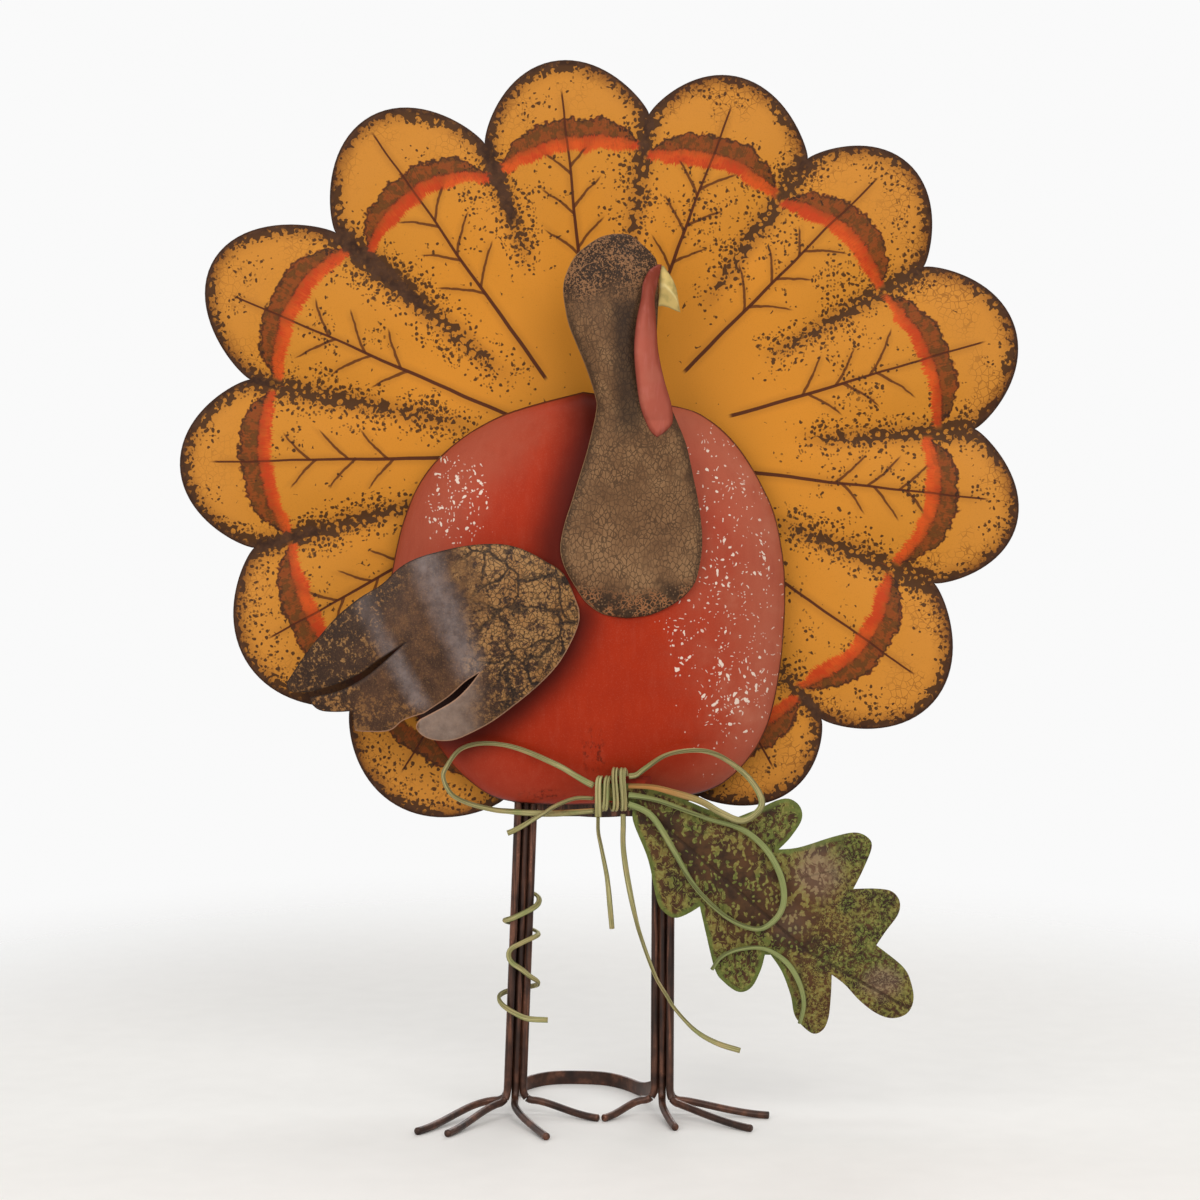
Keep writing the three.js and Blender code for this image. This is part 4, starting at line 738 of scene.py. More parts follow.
    # Fine crackle near the rims, strongest on the right lobes
    cracks = cells(warped(p, 90, 0.004), 190)
    cracked = rise(cracks, 0.08, 0.03) * rise(edge, 62, 10) * (0.5 + rise(lobe, 6.6, 6.4) * 0.5)
    cracked *= rise(patchy, 0.44, 0.56)
    lay(cracked * 0.5, "vein")

    # Solid dark rim and notches, and painted shade on the ground behind the wing's slits
    border = rise(edge + middle.off * 3 + patchy.off * 6, 5.2, 2.2)
    dark = most(border * 0.9, core)
    lay(dark * 0.95, mix(rise(middle, 0.35, 0.65), "rim", "dark"))
    lay(rise(edge, 2.0, 0.8) * 0.7, "dark")
    lay(rise(slit, 20, 12) * 0.95, "dark")
    height = blobs * 0.2 - rib * 0.8 - vein * 0.4 + sponged * 0.3 + broad
    return finish(0.46 + middle * 0.12 + dark * 0.05, 0.06, height, 0.3)


def backMaterial():
    p = begin("darkBackPaint", fanValues)
    spray = noise(p, 700, 2)
    lay(rise(noise(p, 22, 5), 0.35, 0.68), "backLight", "back")
    lay(rise(spray, 0.55, 0.7) * 0.4, "backSpray")
    return finish(0.45 + spray * 0.2, 0.5, spray, 0.08)


# Body dome
bodyValues = {
    "width": 344, "height": 357, "left": -183.6, "foot": 270.7, "dome": 48, "rimDepth": 10.125,
    # Rings inside and outside the share where the dome turns steep, and the powers of its profile
    "columns": 260, "rings": (50, 25), "steep": 0.9, "profile": (2.6, 0.55),
    "red": (166, 46, 17), "brick": (150, 36, 13), "deep": (120, 27, 12), "maroon": (66, 10, 3),
    "rose": (156, 62, 44), "pink": (168, 86, 64), "dusty": (190, 116, 92), "white": (230, 212, 196),
    "dark": (40, 20, 14),
}
bodyShares = np.array([
    [0.491, 1], [0.72, 0.966], [0.809, 0.932], [0.885, 0.862], [0.947, 0.762], [0.98, 0.677], [1, 0.53],
    [0.987, 0.328], [0.947, 0.172], [0.865, 0.067], [0.761, 0.022], [0.534, 0], [0.307, 0.007], [0.2, 0.06],
    [0.116, 0.153], [0.05, 0.252], [0.008, 0.37], [0, 0.495], [0.043, 0.699], [0.123, 0.835], [0.277, 0.939],
    [0.491, 1],
])


# The dome: rings that shrink towards the middle, at a depth that follows a rounded profile
def makeBody():
    v = bodyValues
    columns = v["columns"]
    size = np.array([v["width"], v["height"]])
    corner = np.array([v["left"], v["foot"]])
    middle = corner + size / 2
    out = curveThrough(bodyShares, columns + 1)[:-1] * size + corner - middle
    # Rings from the middle out, closer together at the rim
    inner, outer = v["rings"]
    close = 1 - (1 - v["steep"]) * (1 - np.arange(1, outer + 1) / outer) ** 2.2
    shares = np.concatenate([np.linspace(0, v["steep"], inner), close])[:, None]
    bulge, shoulder = v["profile"]
    profile = np.maximum(0, 1 - shares ** bulge) ** shoulder
    reach = np.linalg.norm(out, axis=1)
    x, z = [middle[i] + shares * out[:, i] for i in range(2)]
    inX, inZ = [middle[i] + shares * (out[:, i] * (1 - gauge / reach)) for i in range(2)]
    plane = table(x, z)
    neckGap = neckEdge(neckLeftShares, z) - x
    neckGap = np.where(neckGap < -20, 90, np.abs(neckGap))
    gaps = slitDistance(plane), neckGap.ravel(), signedDistance(plane, wingCover())
    rows = len(shares)
    front = place(x, v["rimDepth"] + v["dome"] * profile, z)
    back = place(inX, v["rimDepth"] + (v["dome"] - gauge) * profile, inZ)
    makeSheet("body_dome", "body_shell", front, back, gridFaces(rows, columns, wrap=True),
              (rows - 1) * columns + np.arange(columns), [bodyMaterial(), backMaterial()],
              {"bodyPlace": table(x, z, (1 - shares) * reach), "bodyGaps": table(*gaps)})


def bodyMaterial():
    p = begin("rubbedRed", bodyValues)
    x, z, rim = field("bodyPlace")
    slit, neckGap, cover = field("bodyGaps")
    broad = noise(p, 9, 3)
    cloud = noise(p, 30, 4, 0.6)
    fine = noise(p, 300, 2)
    grains = noise(p, 900, 2, 0.6)
    brushed = noise(stretched(p, 0.22), 190, 3)

    lay(rise(cloud, 0.3, 0.7) * 0.4, "brick", "red")
    rosy = rise(x + z * 0.28 + cloud.off * 70 + broad.off * 70, 150, 262)
    lay(rosy * (0.55 + cloud * 0.5), "pink")
    lay(rosy * rise(broad + cloud.off * 0.3, 0.46, 0.34) * 0.5, "rose")
    upperLeft = rise(z * 0.5 - x + cloud.off * 60, 300, 400) * rise(rim + broad.off * 60, 90, 20)
    lay(upperLeft * 0.75, "pink")
    dusty = rise(rim + cloud.off * 40, 46, 8)
    lay(dusty * rise(x, -60, 90) * 0.3, "dusty")
    bloomed = rise(cloud * 0.5 + broad * 0.5, 0.48, 0.6) * rise(x, 78, 128)
    lay(bloomed * 0.4, "dusty")
    lowLeft = rise(rim + cloud.off * 36, 60, 6) * rise(x, 40, -80) * rise(z, 420, 340)
    lay(lowLeft * 0.5, "rose")
    lay(rise(brushed, 0.5, 0.72) * 0.04, "dusty")
    lay(rise(brushed, 0.5, 0.28) * 0.08, "deep")
    lay(rise(grains, 0.52, 0.7) * 0.1, "dusty")

    # Maroon left of the neck, partly airbrushed paint and partly painted shadow, and painted shadow round the
    # wing's lower edge; painted shade near black behind the wing's slits
    neckShadeAndAirbrush = rise(neckGap + cloud.off * 14, 42, 4) * rise(z + cloud.off * 40, 420, 480)
    wingShadow = rise(cover + cloud.off * 12, 32, 0) * rise(x * 0.6 - z, -490, -440)
    lay(most(neckShadeAndAirbrush, wingShadow) * 0.88, "maroon")
    lay(rise(slit, 14, 8) * 0.95, "dark")

    def spot(*oval):
        return rise(ovalDistance(x, z, *oval) + cloud.off * 1.1, 1.2, 0.4)

    # Chips of bare primer in a few fields, round and larger low on the right, with fine dust between them
    moved = warped(p, 55, 0.02)
    chips, drawn = spots(stretched(moved, 0.8), 150)
    dust, dustDrawn = spots(moved, 300)
    low = spot(116, 375, 30, 48)
    patch = most(low, spot(69, 420, 14, 32) * 0.85, spot(-122, 534, 30, 42), spot(107, 477, 15, 32) * 0.9,
                 spot(138, 486, 11, 28) * 0.8, spot(102, 545, 16, 42) * 0.6)
    size = 0.1 + fine * 0.16 + low * 0.06
    chipped = rise(chips + fine.off * 0.5 - size, 0.03, -0.03)
    chipped *= rise(drawn + patch * 0.5, 1.0, 1.03)
    sprinkled = most(patch * 0.6, spot(110, 450, 60, 170) * 0.34)
    dusted = rise(dust + fine.off * 0.4, 0.24, 0.14)
    dusted *= rise(dustDrawn + sprinkled * 0.85, 1.0, 1.05)
    lay(most(chipped * 0.92, dusted * 0.7), "white")

    # Dark smudges low in the middle, and a thin dark rim
    smears = noise(stretched(p, 0.5), 230, 3, 0.65)
    smudge = most(spot(-5, 318, 12, 22), spot(-50, 281, 20, 6)) * rise(smears, 0.5, 0.64)
    lay(smudge * 0.6, "dark")
    border = rise(rim + cloud.off * 2, 2.0, 0.9)
    lay(border * 0.8, "dark")
    height = fine * 0.25 + brushed * 0.1 + broad * 1.2 + chipped * 0.3
    return finish(0.42 + cloud * 0.14 + rosy * 0.08, 0.1, height, 0.25, 0.02, 0.09)


# Head, neck and bib
neckValues = {
    "width": 120.5, "height": 325, "left": -33.7, "foot": 434, "lean": 12, "crown": 12, "bibCrown": 6,
    "base": 60.425, "edge": (0.9, 2.2),
    "brown": (134, 98, 66), "umber": (94, 65, 42), "tan": (150, 115, 80), "black": (32, 21, 15),
    "copper": (164, 108, 68),
}
neckLeftShares = np.array([
    [0.469, 0], [0.308, 0.01], [0.189, 0.039], [0.112, 0.078], [0.028, 0.135], [0, 0.184], [0.028, 0.244],
    [0.084, 0.309], [0.14, 0.377], [0.196, 0.447], [0.252, 0.54], [0.245, 0.579], [0.182, 0.652],
    [0.119, 0.709], [0.063, 0.761], [0.035, 0.808], [0.021, 0.857], [0.042, 0.896], [0.098, 0.938],
    [0.168, 0.964], [0.273, 0.99], [0.371, 1]])
neckRightShares = np.array([
    [0.469, 0], [0.643, 0.01], [0.825, 0.044], [0.937, 0.086], [0.979, 0.135], [1, 0.203], [0.979, 0.286],
    [0.937, 0.366], [0.888, 0.449], [0.825, 0.509], [0.755, 0.569], [0.699, 0.634], [0.678, 0.712],
    [0.685, 0.803], [0.692, 0.868], [0.678, 0.927], [0.643, 0.948], [0.58, 0.971], [0.49, 0.997], [0.371, 1]])


# Left or right edge of the neck at a height
def neckEdge(shares, up):
    v = neckValues
    curve = curveThrough(shares, 600)
    order = np.maximum.accumulate(curve[:, 1])
    return v["left"] + v["width"] * np.interp((up - v["foot"]) / v["height"], order, curve[:, 0])


# Depth of the neck's face: crowned across, leaning forwards upwards
def neckFace(across, up):
    v = neckValues
    t = clamp((up - v["foot"]) / v["height"])
    left, right = neckEdge(neckLeftShares, up), neckEdge(neckRightShares, up)
    half = np.maximum((right - left) / 2, 0.3)
    q = np.clip((across - (left + right) / 2) / half, -1, 1)
    crown = v["bibCrown"] + (v["crown"] - v["bibCrown"]) * ease(clamp((t - 0.2) / 0.3))
    ends = np.sqrt(np.maximum(0, 1 - (2 * t - 1) ** 8))
    return v["base"] + v["lean"] * ease(clamp((t - 0.15) / 0.6)) + crown * ends * (1 - q * q)


# A sheet on a grid of points, its edge rolled back by a depth over a width. The third value of its field
# is the distance to the edge, or the fold for a sheet whose columns run upwards.
def makeStrip(name, solid, across, depth, up, edge, materials, fieldName, fold=None):
    rows, columns = across.shape
    loop = np.concatenate([
        np.arange(columns), np.arange(1, rows) * columns + columns - 1,
        (rows - 1) * columns + np.arange(columns - 1)[::-1], (np.arange(1, rows - 1) * columns)[::-1]])
    plane = table(across, up)
    rim = edgeDistance(plane, plane[loop]).reshape(rows, columns)
    rolled = edge[0] * np.maximum(0, 1 - rim / edge[1]) ** 2
    order = 1 if fold is None else -1
    front, back = place(across, depth - rolled, up), place(across, depth - gauge - rolled * 0.4, up)
    makeSheet(name, solid, front, back, gridFaces(rows, columns)[:, ::order], loop[::order], materials,
              {fieldName: table(across, up, rim if fold is None else fold)})


# Head, neck and bib in one strip between the left and right edges, closer rows at both ends
def makeHead():
    v = neckValues
    rows, columns = 190, 56
    up = v["foot"] + v["height"] * closeAtEnds(np.linspace(0, 1, rows))[:, None]
    left, right = neckEdge(neckLeftShares, up), neckEdge(neckRightShares, up)
    across = left + (right - left) * np.linspace(0, 1, columns)
    up = up + 0 * across
    makeStrip("head_sheet", "head_neck", across, neckFace(across, up), up, v["edge"],
              [headMaterial(), backMaterial()], "neckPlace")


def headMaterial():
    p = begin("brownCrackle", neckValues)
    x, z, rim = field("neckPlace")
    broad = noise(p, 16, 3)
    cloud = noise(p, 55, 3, 0.6)
    fine = noise(p, 420, 2, 0.6)
    grains = noise(p, 800, 2, 0.6)
    lay(rise(cloud * 0.6 + broad * 0.4, 0.28, 0.66), "brown", "umber")
    lay(rise(broad + cloud.off * 0.4, 0.48, 0.7) * 0.5, "tan")
    lay(rise(grains, 0.5, 0.7) * 0.25, "tan")

    # Lizard-skin crackle, longer than wide on the neck
    moved = warped(p, 110, 0.004)
    scales = cells(stretched(moved, 0.66), 300)
    coarse = cells(stretched(warped(p, 60, 0.006), 0.7), 130)
    lines = rise(scales + fine.off * 0.1, 0.12, 0.03) * (0.34 + rise(cloud, 0.36, 0.6) * 0.3)
    bigger = rise(coarse + fine.off * 0.06, 0.045, 0.01) * rise(z + cloud.off * 60, 520, 560)
    lines = most(lines, bigger * 0.5)
    lay(lines, "black")

    # Dark crown sponged with copper, dark sides, shade by the wattle, and a copper net at the hem
    crown = rise(z + cloud.off * 30 - x * 0.2, 690, 722)
    hem = rise(z + abs(x - 22) * -0.15 + cloud.off * 20, 464, 446)
    side = rise(rim + cloud.off * 8, 8, 1.5)
    wattleShade = rise(abs(x - 22 + (z - 660) * 0.05), 19, 3) * rise(abs(z - 652), 76, 46)
    dark = most(crown * 0.86, hem * 0.8, side * 0.55, wattleShade * 0.75)
    lay(dark, "black")
    speckle = rise(fine * 0.45 + grains * 0.55 + cloud.off * 0.25, 0.5, 0.54) * crown
    links = cells(warped(p, 140, 0.006), 300) + fine.off * 0.2
    net = rise(links, 0.14, 0.05) * hem * rise(rim, 0.4, 1.2) * rise(cloud, 0.4, 0.54)
    crumbs, crumbDrawn = spots(moved, 380)
    sprinkle = rise(crumbs, 0.3, 0.18) * rise(crumbDrawn, 0.5, 0.55)
    sprinkle *= rise(rim + cloud.off * 16, 20, 4) * rise(z, 560, 530)
    lay(net * 0.8, "copper")
    lay(speckle * 0.75, mix(0.5, "copper", "tan"))
    lay(sprinkle * 0.5, "tan")
    lay(rise(rim, 0.9, 0.4) * rise(x, 20, -10) * 0.6, "tan")
    height = fine * 0.3 - lines * 0.9 + speckle * 0.4 + broad
    return finish(0.46 + cloud * 0.14, 0.1, height, 0.3, 0.03)


# Wattle
wattleValues = {"width": 32.7, "height": 145.8, "left": 28.5, "foot": 587.3, "stand": 10, "crown": 4,
                "edge": (0.8, 1.8),
                "rose": (174, 88, 70), "deep": (122, 48, 30), "pale": (186, 110, 90), "rim": (86, 26, 24),
                "sheen": (214, 132, 124)}
wattleShares = np.array([
    [0, 0.59, 0.6], [0.03, 0.44, 0.8], [0.086, 0.308, 1], [0.184, 0.154, 0.974], [0.34, 0.05, 0.77],
    [0.49, 0, 0.63], [0.6, 0.026, 0.59], [0.69, 0.077, 0.564], [0.8, 0.18, 0.54], [0.885, 0.23, 0.615],
    [0.96, 0.385, 0.69], [1, 0.615, 0.718]])


# The wattle: a strip between two edges, standing off the neck in one long arch and crowned across
def makeWattle():
    v = wattleValues
    rows, columns = 150, 26
    t = closeAtEnds(np.linspace(0, 1, rows))[:, None]
    fine = curveThrough(wattleShares, 700)
    order = np.maximum.accumulate(fine[:, 0])
    left, right = [v["left"] + v["width"] * np.interp(t, order, fine[:, i]) for i in (1, 2)]
    q = np.linspace(-1, 1, columns)
    across = left + (right - left) * (q + 1) / 2
    up = v["foot"] + v["height"] * t + 0 * across
    stand = v["stand"] * np.sin(np.pi * clamp((1 - t) / 0.9)) ** 0.7
    crown = v["crown"] * (1 - q * q) * np.sin(np.pi * t) ** 0.5
    depth = neckFace(across, up) + weldGap + gauge + stand + crown
    makeStrip("wattle_strip", "wattle", across, depth, up, v["edge"],
              [wattleMaterial()] * 2, "wattlePlace")


def wattleMaterial():
    p = begin("wattleRose", wattleValues)
    _, z, gap = field("wattlePlace")
    cloud = noise(p, 40, 4)
    brushed = noise(stretched(p, 0.2), 240, 3)
    lay(rise(z + cloud.off * 60, 662, 722), "deep", "rose")
    lay(rise(cloud, 0.5, 0.7) * rise(z, 710, 670) * 0.35, "pale")
    lay(rise(gap + cloud.off * 5, 5, 1) * 0.6, "deep")
    lay(rise(gap, 0.9, 0.3) * 0.5, "rim")
    lay(rise(brushed, 0.5, 0.7) * 0.12, "sheen")
    return finish(0.48 + cloud * 0.12, 0.08, brushed + cloud, 0.12, 0.05)


# Beak
beakValues = {"length": 19, "drop": 42, "foot": 692.7, "fold": 6, "root": 0.685, "yellow": (206, 178, 108),
              "olive": (166, 146, 86), "pale": (222, 204, 146), "rim": (110, 92, 56)}
beakTopShares = np.array([[0, 0.95], [0.26, 0.93], [0.65, 0.66], [0.83, 0.46], [1, 0]])
beakUnderShares = np.array([[0, 0.12], [0.17, 0.13], [0.45, 0.1], [0.8, 0.03], [1, 0]])


# The beak: rows from the head's edge to the tip, folded along the middle
def makeBeak():
    v = beakValues
    rows, columns = 28, 21
    t = np.linspace(0, 1, rows)[:, None]
    q = np.linspace(-1, 1, columns)
    under, top = [np.interp(t, *shares.T) for shares in (beakUnderShares, beakTopShares)]
    up = v["foot"] + v["drop"] * (under + (top - under) * ((q + 1) / 2))
    root = neckEdge(neckRightShares, up) + weldGap
    depth = neckFace(root, up) + v["fold"] * (1 - np.abs(q)) * np.sin(np.pi * t) ** 0.5
    end = neckValues["left"] + neckValues["width"] * v["root"] + v["length"]
    makeStrip("beak_fold", "beak", root + (end - root) * t, depth, up, (0, 1),
              [beakMaterial()] * 2, "beakPlace", q)


def beakMaterial():
    p = begin("beakYellow", beakValues)
    fold = field("beakPlace")[2]
    cloud = noise(p, 90, 4)
    lay(rise(cloud + fold * 0.12, 0.42, 0.7), "olive", "yellow")
    lay(rise(abs(fold), 0.2, 0.02) * 0.5, "pale")
    lay(rise(abs(fold), 0.86, 1.0) * 0.6, "rim")
    return finish(0.46, 0.08, cloud, 0.1, 0.05)


# The closed outline that runs through stretches of shares, each smooth between two corners
def outlineThrough(stretches, v, step):
    size, corner = [v["width"], v["height"]], [v["left"], v["foot"]]
    curves = [evenCurve(np.array(stretch) * size + corner, step, fineness=60, least=2) for stretch in stretches]
    return np.concatenate([curve[:-1] for curve in curves])


# The rows that fill a sheet are this share of the step apart, and stay this share of it off the outline
rowShare, clearShare = 0.87, 0.45


# A flat sheet inside an outline: staggered rows of points, joined with it in triangles
def filledOutline(outline, step):
    low, high = outline.min(axis=0), outline.max(axis=0)
    up = np.arange(low[1], high[1], step * rowShare)[:, None]
    shift = (np.arange(len(up)) % 2)[:, None] * step / 2
    inside = table(np.arange(low[0], high[0], step) + shift, up)
    inside = inside[signedDistance(inside, outline) < -step * clearShare]
    corners = [Vector(p) for p in np.concatenate([outline, inside])]
    points, _, faces, *_ = delaunay_2d_cdt(corners, [], [list(range(len(outline)))], 1, 1e-6)
    return np.array([[p.x, p.y] for p in points]), np.array(faces)


# A pressed sheet: the flat sheet moved to the depth of its face, its edge rolled slightly back
def makePressed(name, solid, v, stretches, depthAt, material, fieldName, extra=None):
    outline = outlineThrough(stretches, v, v["step"])
    plane, faces = filledOutline(outline, v["step"])
    rim = edgeDistance(plane, outline)
    across, up = plane.T
    depth = depthAt(across, up) - v["roundness"] * np.maximum(0, 1 - rim / (2.6 * v["roundness"])) ** 2
    a, b, c = [plane[faces[:, i]] for i in range(3)]
    turned = ((b - a)[:, 0] * (c - a)[:, 1] - (b - a)[:, 1] * (c - a)[:, 0]) < 0
    faces[turned] = faces[turned][:, ::-1]
    fields = {fieldName: table(across, up, rim)}
    if extra is not None:
        fields[fieldName + "More"] = table(*extra(across, up))
    makeSheet(name, solid, place(across, depth, up), place(across, depth - gauge, up), faces,
              np.arange(len(outline)), [material, backMaterial()], fields)


# Wing
wingValues = {
    "width": 250, "height": 165, "left": -267, "foot": 332.2, "tipDepth": 52, "roll": 32, "crest": 0.55,
    "crown": 6, "step": 2.4, "roundness": 0.9,
    "brown": (84, 56, 38), "umber": (62, 40, 27), "black": (32, 21, 15), "ochre": (158, 110, 60),
    "sand": (176, 132, 80), "sheen": (132, 121, 120), "pale": (144, 124, 112), "lip": (166, 124, 96),
}
wingShares = [
    [[0.997, 0.668], [0.949, 0.837], [0.882, 0.913], [0.805, 0.974], [0.731, 1], [0.633, 0.995], [0.542, 0.969],
     [0.451, 0.929], [0.391, 0.878], [0.333, 0.796], [0.256, 0.724], [0.182, 0.633], [0.121, 0.531],
     [0.067, 0.429], [0, 0.281]],
    [[0, 0.281], [0.017, 0.235], [0.091, 0.24]],
    [[0.091, 0.24], [0.182, 0.286], [0.256, 0.337], [0.316, 0.403], [0.414, 0.5]],
    [[0.414, 0.5], [0.316, 0.367], [0.256, 0.301], [0.182, 0.245], [0.084, 0.209]],
    [[0.084, 0.209], [0.091, 0.173], [0.121, 0.143], [0.175, 0.138], [0.232, 0.145]],
    [[0.232, 0.145], [0.239, 0.051], [0.256, 0.041], [0.333, 0.041], [0.37, 0.056], [0.407, 0.102],
     [0.475, 0.138]],
    [[0.475, 0.138], [0.559, 0.224], [0.616, 0.301], [0.663, 0.347]],
    [[0.663, 0.347], [0.62, 0.265], [0.566, 0.194], [0.461, 0.107]],
    [[0.461, 0.107], [0.448, 0.071], [0.468, 0.026], [0.512, 0], [0.572, 0], [0.633, 0.036], [0.707, 0.097],
     [0.781, 0.179], [0.859, 0.276], [0.926, 0.383], [0.97, 0.495], [0.997, 0.597], [0.997, 0.668]],
]


# The wing's outline with its two slits closed
def wingCover():
    return outlineThrough([wingShares[i] for i in (0, 1, 4, 5, 8)], wingValues, 5)


# Distance from the nearer of the wing's two slits, for the painted shade that shows through them
def slitDistance(points):
    slits = [outlineThrough(wingShares[i:i + 2], wingValues, 5) for i in (2, 6)]
    return np.minimum(*[edgeDistance(points, slit) for slit in slits])


# Depth of the wing's face: arched along, crowned across
def wingFace(across, up):
    v = wingValues
    off = ((across - v["left"]) / v["width"] - v["crest"]) / v["crest"]
    climb = (up - v["foot"]) / v["height"]
    return v["tipDepth"] + v["roll"] * (1 - off * off) - v["crown"] * (2 * climb - 1) ** 2


def wingMaterial():
    p = begin("wingCrackle", wingValues)
    x, z, rim = field("wingPlace")
    broad = noise(p, 14, 3)
    cloud = noise(p, 48, 3, 0.6)
    mottle = noise(p, 110, 4, 0.7)
    fine = noise(p, 380, 2, 0.6)
    grains = noise(p, 850, 2)
    combed = noise(stretched(p, 0.1), 420, 2)
    moved = warped(p, 130, 0.005)
    lay(rise(cloud * 0.6 + mottle * 0.4, 0.38, 0.6), "brown", "umber")
    lay(rise(combed, 0.52, 0.66) * 0.25, "black")
    lay(rise(grains, 0.54, 0.7) * 0.2, "sand")

    # Dark tip with small ochre freckles; ochre mottle under a fine dark net and a few wide cracks at the root
    tip = rise(x + cloud.off * 50 - (z - 400) * 0.3, -178, -212)
    lay(tip * 0.5, "black")
    freckles = rise(fine * 0.5 + mottle * 0.5, 0.535, 0.59) * tip
    ochre = mix(rise(grains * 0.5 + cloud * 0.5, 0.4, 0.6), "ochre", "sand")
    lay(freckles * 0.62, ochre)
    lay(rise(mottle * 0.6 + fine * 0.4, 0.5, 0.6) * 0.12, "ochre")
    root = rise(x + cloud.off * 60 + broad.off * 40 + (z - 400) * 0.15, -122, -84)
    rich = rise(x * 0.6 + z * 0.8 + broad.off * 50, 244, 312)
    crumb = rise(mottle * 0.6 + fine * 0.4 + rich * 0.07, 0.49, 0.56) * root
    lay(crumb * 0.72, ochre)
    scales = cells(moved, 250) + fine.off * 0.12
    netted = rise(scales, 0.13, 0.04) * most(root * 0.7, 0.16)
    lay(netted, "black")
    lowFinger = rise(z + x * 0.12 + cloud.off * 26, 356, 338) * rise(x, -130, -156)
    lay(lowFinger * 0.42 * rise(fine * 0.5 + mottle * 0.5, 0.48, 0.58), "ochre")
    wide = cells(warped(p, 40, 0.02), 32)
    cracks = rise(wide + fine.off * 0.06, 0.05, 0.012) * root * rise(broad, 0.3, 0.5)
    lay(cracks * 0.85, "black")

    # Painted blue-grey sheen in two slanted bands, a painted reflection, and the third finger painted pale as a
    # painted highlight
    bandLeft = rise(abs(x + 200.1 - (447.9 - z) * 0.57 + cloud.off * 12), 16, 0) * rise(z, 352, 366)
    bandRight = rise(abs(x + 143.5 - (475 - z) * 0.42 + cloud.off * 16), 23, 0) * rise(z, 374, 392)
    sheen = most(bandLeft * (0.36 + rise(z, 440, 370) * 0.4), bandRight * 0.68)
    past = (x + 148) / 47
    below = rise(353.5 + past * 36 - past * (1 - past) * 14 - z, -0.5, 1) * rise(x, -154, -151)
    litFinger = below * rise(x + cloud.off * 24, -90, -124)
    lay(sheen * (0.5 + combed * 0.3 + mottle.off * 1.4) * (1 - below), "sheen")
    lay(litFinger * (0.66 + mottle.off * 0.9), "pale")
    # Dark border, with a painted highlight along the lower edge
    border = rise(rim + fine.off, 1.3, 0.5)
    highlightedEdge = rise(x * 0.62 - z, -478, -462)
    lay(border * 0.7, mix(highlightedEdge, "black", "lip"))
    height = fine * 0.3 + crumb * 0.4 - cracks * 1.2 - netted * 0.5 + broad
    return finish(0.38 + cloud * 0.16, 0.15, height, 0.35, 0.07)


# Oak leaf
leafValues = {
    "width": 237, "height": 212.4, "left": 29.7, "foot": 80.6, "wave": 3, "fold": 5, "base": 52.7,
    "flat": 22, "reach": 44, "step": 2.2, "roundness": 1.0, "groove": 0.8, "grooveWidth": 3.0,
    "brown": (82, 56, 34), "dark": (50, 34, 23), "rust": (94, 60, 34), "green": (104, 112, 52),
    "lime": (140, 136, 72), "moss": (84, 104, 50), "ochre": (130, 114, 58), "rosy": (146, 118, 100),
}
leafShares = [
    [[0, 0.924], [-0.007, 0.852], [0.047, 0.696], [0.079, 0.532], [0.108, 0.48], [0.147, 0.46], [0.194, 0.48],
     [0.233, 0.508]],
    [[0.233, 0.508], [0.254, 0.404], [0.287, 0.256], [0.319, 0.204], [0.373, 0.164], [0.419, 0.184],
     [0.452, 0.256], [0.466, 0.316]],
    [[0.466, 0.316], [0.487, 0.316]],
    [[0.487, 0.316], [0.527, 0.248], [0.559, 0.152], [0.577, 0.064], [0.634, 0], [0.674, 0.012], [0.695, 0.064],
     [0.703, 0.152], [0.706, 0.236]],
    [[0.706, 0.236], [0.753, 0.196], [0.806, 0.132], [0.867, 0.08], [0.925, 0.06], [0.978, 0.08], [1, 0.132],
     [0.993, 0.196], [0.964, 0.264], [0.867, 0.352]],
    [[0.867, 0.352], [0.9, 0.404], [0.946, 0.472], [0.953, 0.524], [0.925, 0.564], [0.867, 0.576],
     [0.785, 0.576]],
    [[0.785, 0.576], [0.821, 0.652], [0.853, 0.74], [0.839, 0.78], [0.792, 0.8], [0.713, 0.784], [0.591, 0.744],
     [0.516, 0.736]],
    [[0.516, 0.736], [0.559, 0.784], [0.599, 0.852], [0.595, 0.904], [0.559, 0.936], [0.513, 0.932],
     [0.448, 0.9], [0.366, 0.864]],
    [[0.366, 0.864], [0.301, 0.88], [0.186, 0.932], [0.09, 0.976], [0.018, 1]],
    [[0.018, 1], [-0.125, 1]],
    [[-0.125, 1], [-0.125, 0.935]],
    [[-0.125, 0.935], [0, 0.924]],
]
leafMidribShares = np.array([[0, 0.93], [0.62, 0.33], [0.98, 0.1]])


# Distance from the midrib, how far along it the nearest point lies, and on which side
def fromMidrib(across, up):
    v = leafValues
    line = leafMidribShares * [v["width"], v["height"]] + [v["left"], v["foot"]]
    points = table(across, up)
    away, along = np.full(len(points), np.inf), np.zeros(len(points))
    start = 0
    for a, run in zip(line, np.diff(line, axis=0)):
        size = np.linalg.norm(run)
        t = clamp(((points - a) @ run) / size ** 2)
        gap = np.linalg.norm(points - a - t[:, None] * run, axis=1)
        along = np.where(gap < away, start + t * size, along)
        away = np.minimum(gap, away)
        start += size
    run, off = line[1] - line[0], points - line[0]
    return away, along, np.sign(run[0] * off[:, 1] - run[1] * off[:, 0])


# Depth of the leaf's face: one long wave, its sides folded back, a groove along the midrib
def leafFace(across, up):
    v = leafValues
    away = fromMidrib(across, up)[0]
    along = clamp((across - v["reach"] - v["flat"] / 2) / (v["width"] - v["reach"]))
    free = clamp((across - v["left"]) / v["flat"])
    fold = v["fold"] * free * np.maximum(0, away - v["flat"]) / (v["height"] / 4)
    groove = v["groove"] * np.exp(-(away / v["grooveWidth"]) ** 2) * free
    return v["base"] + v["wave"] * np.sin(np.pi * along) - fold - groove


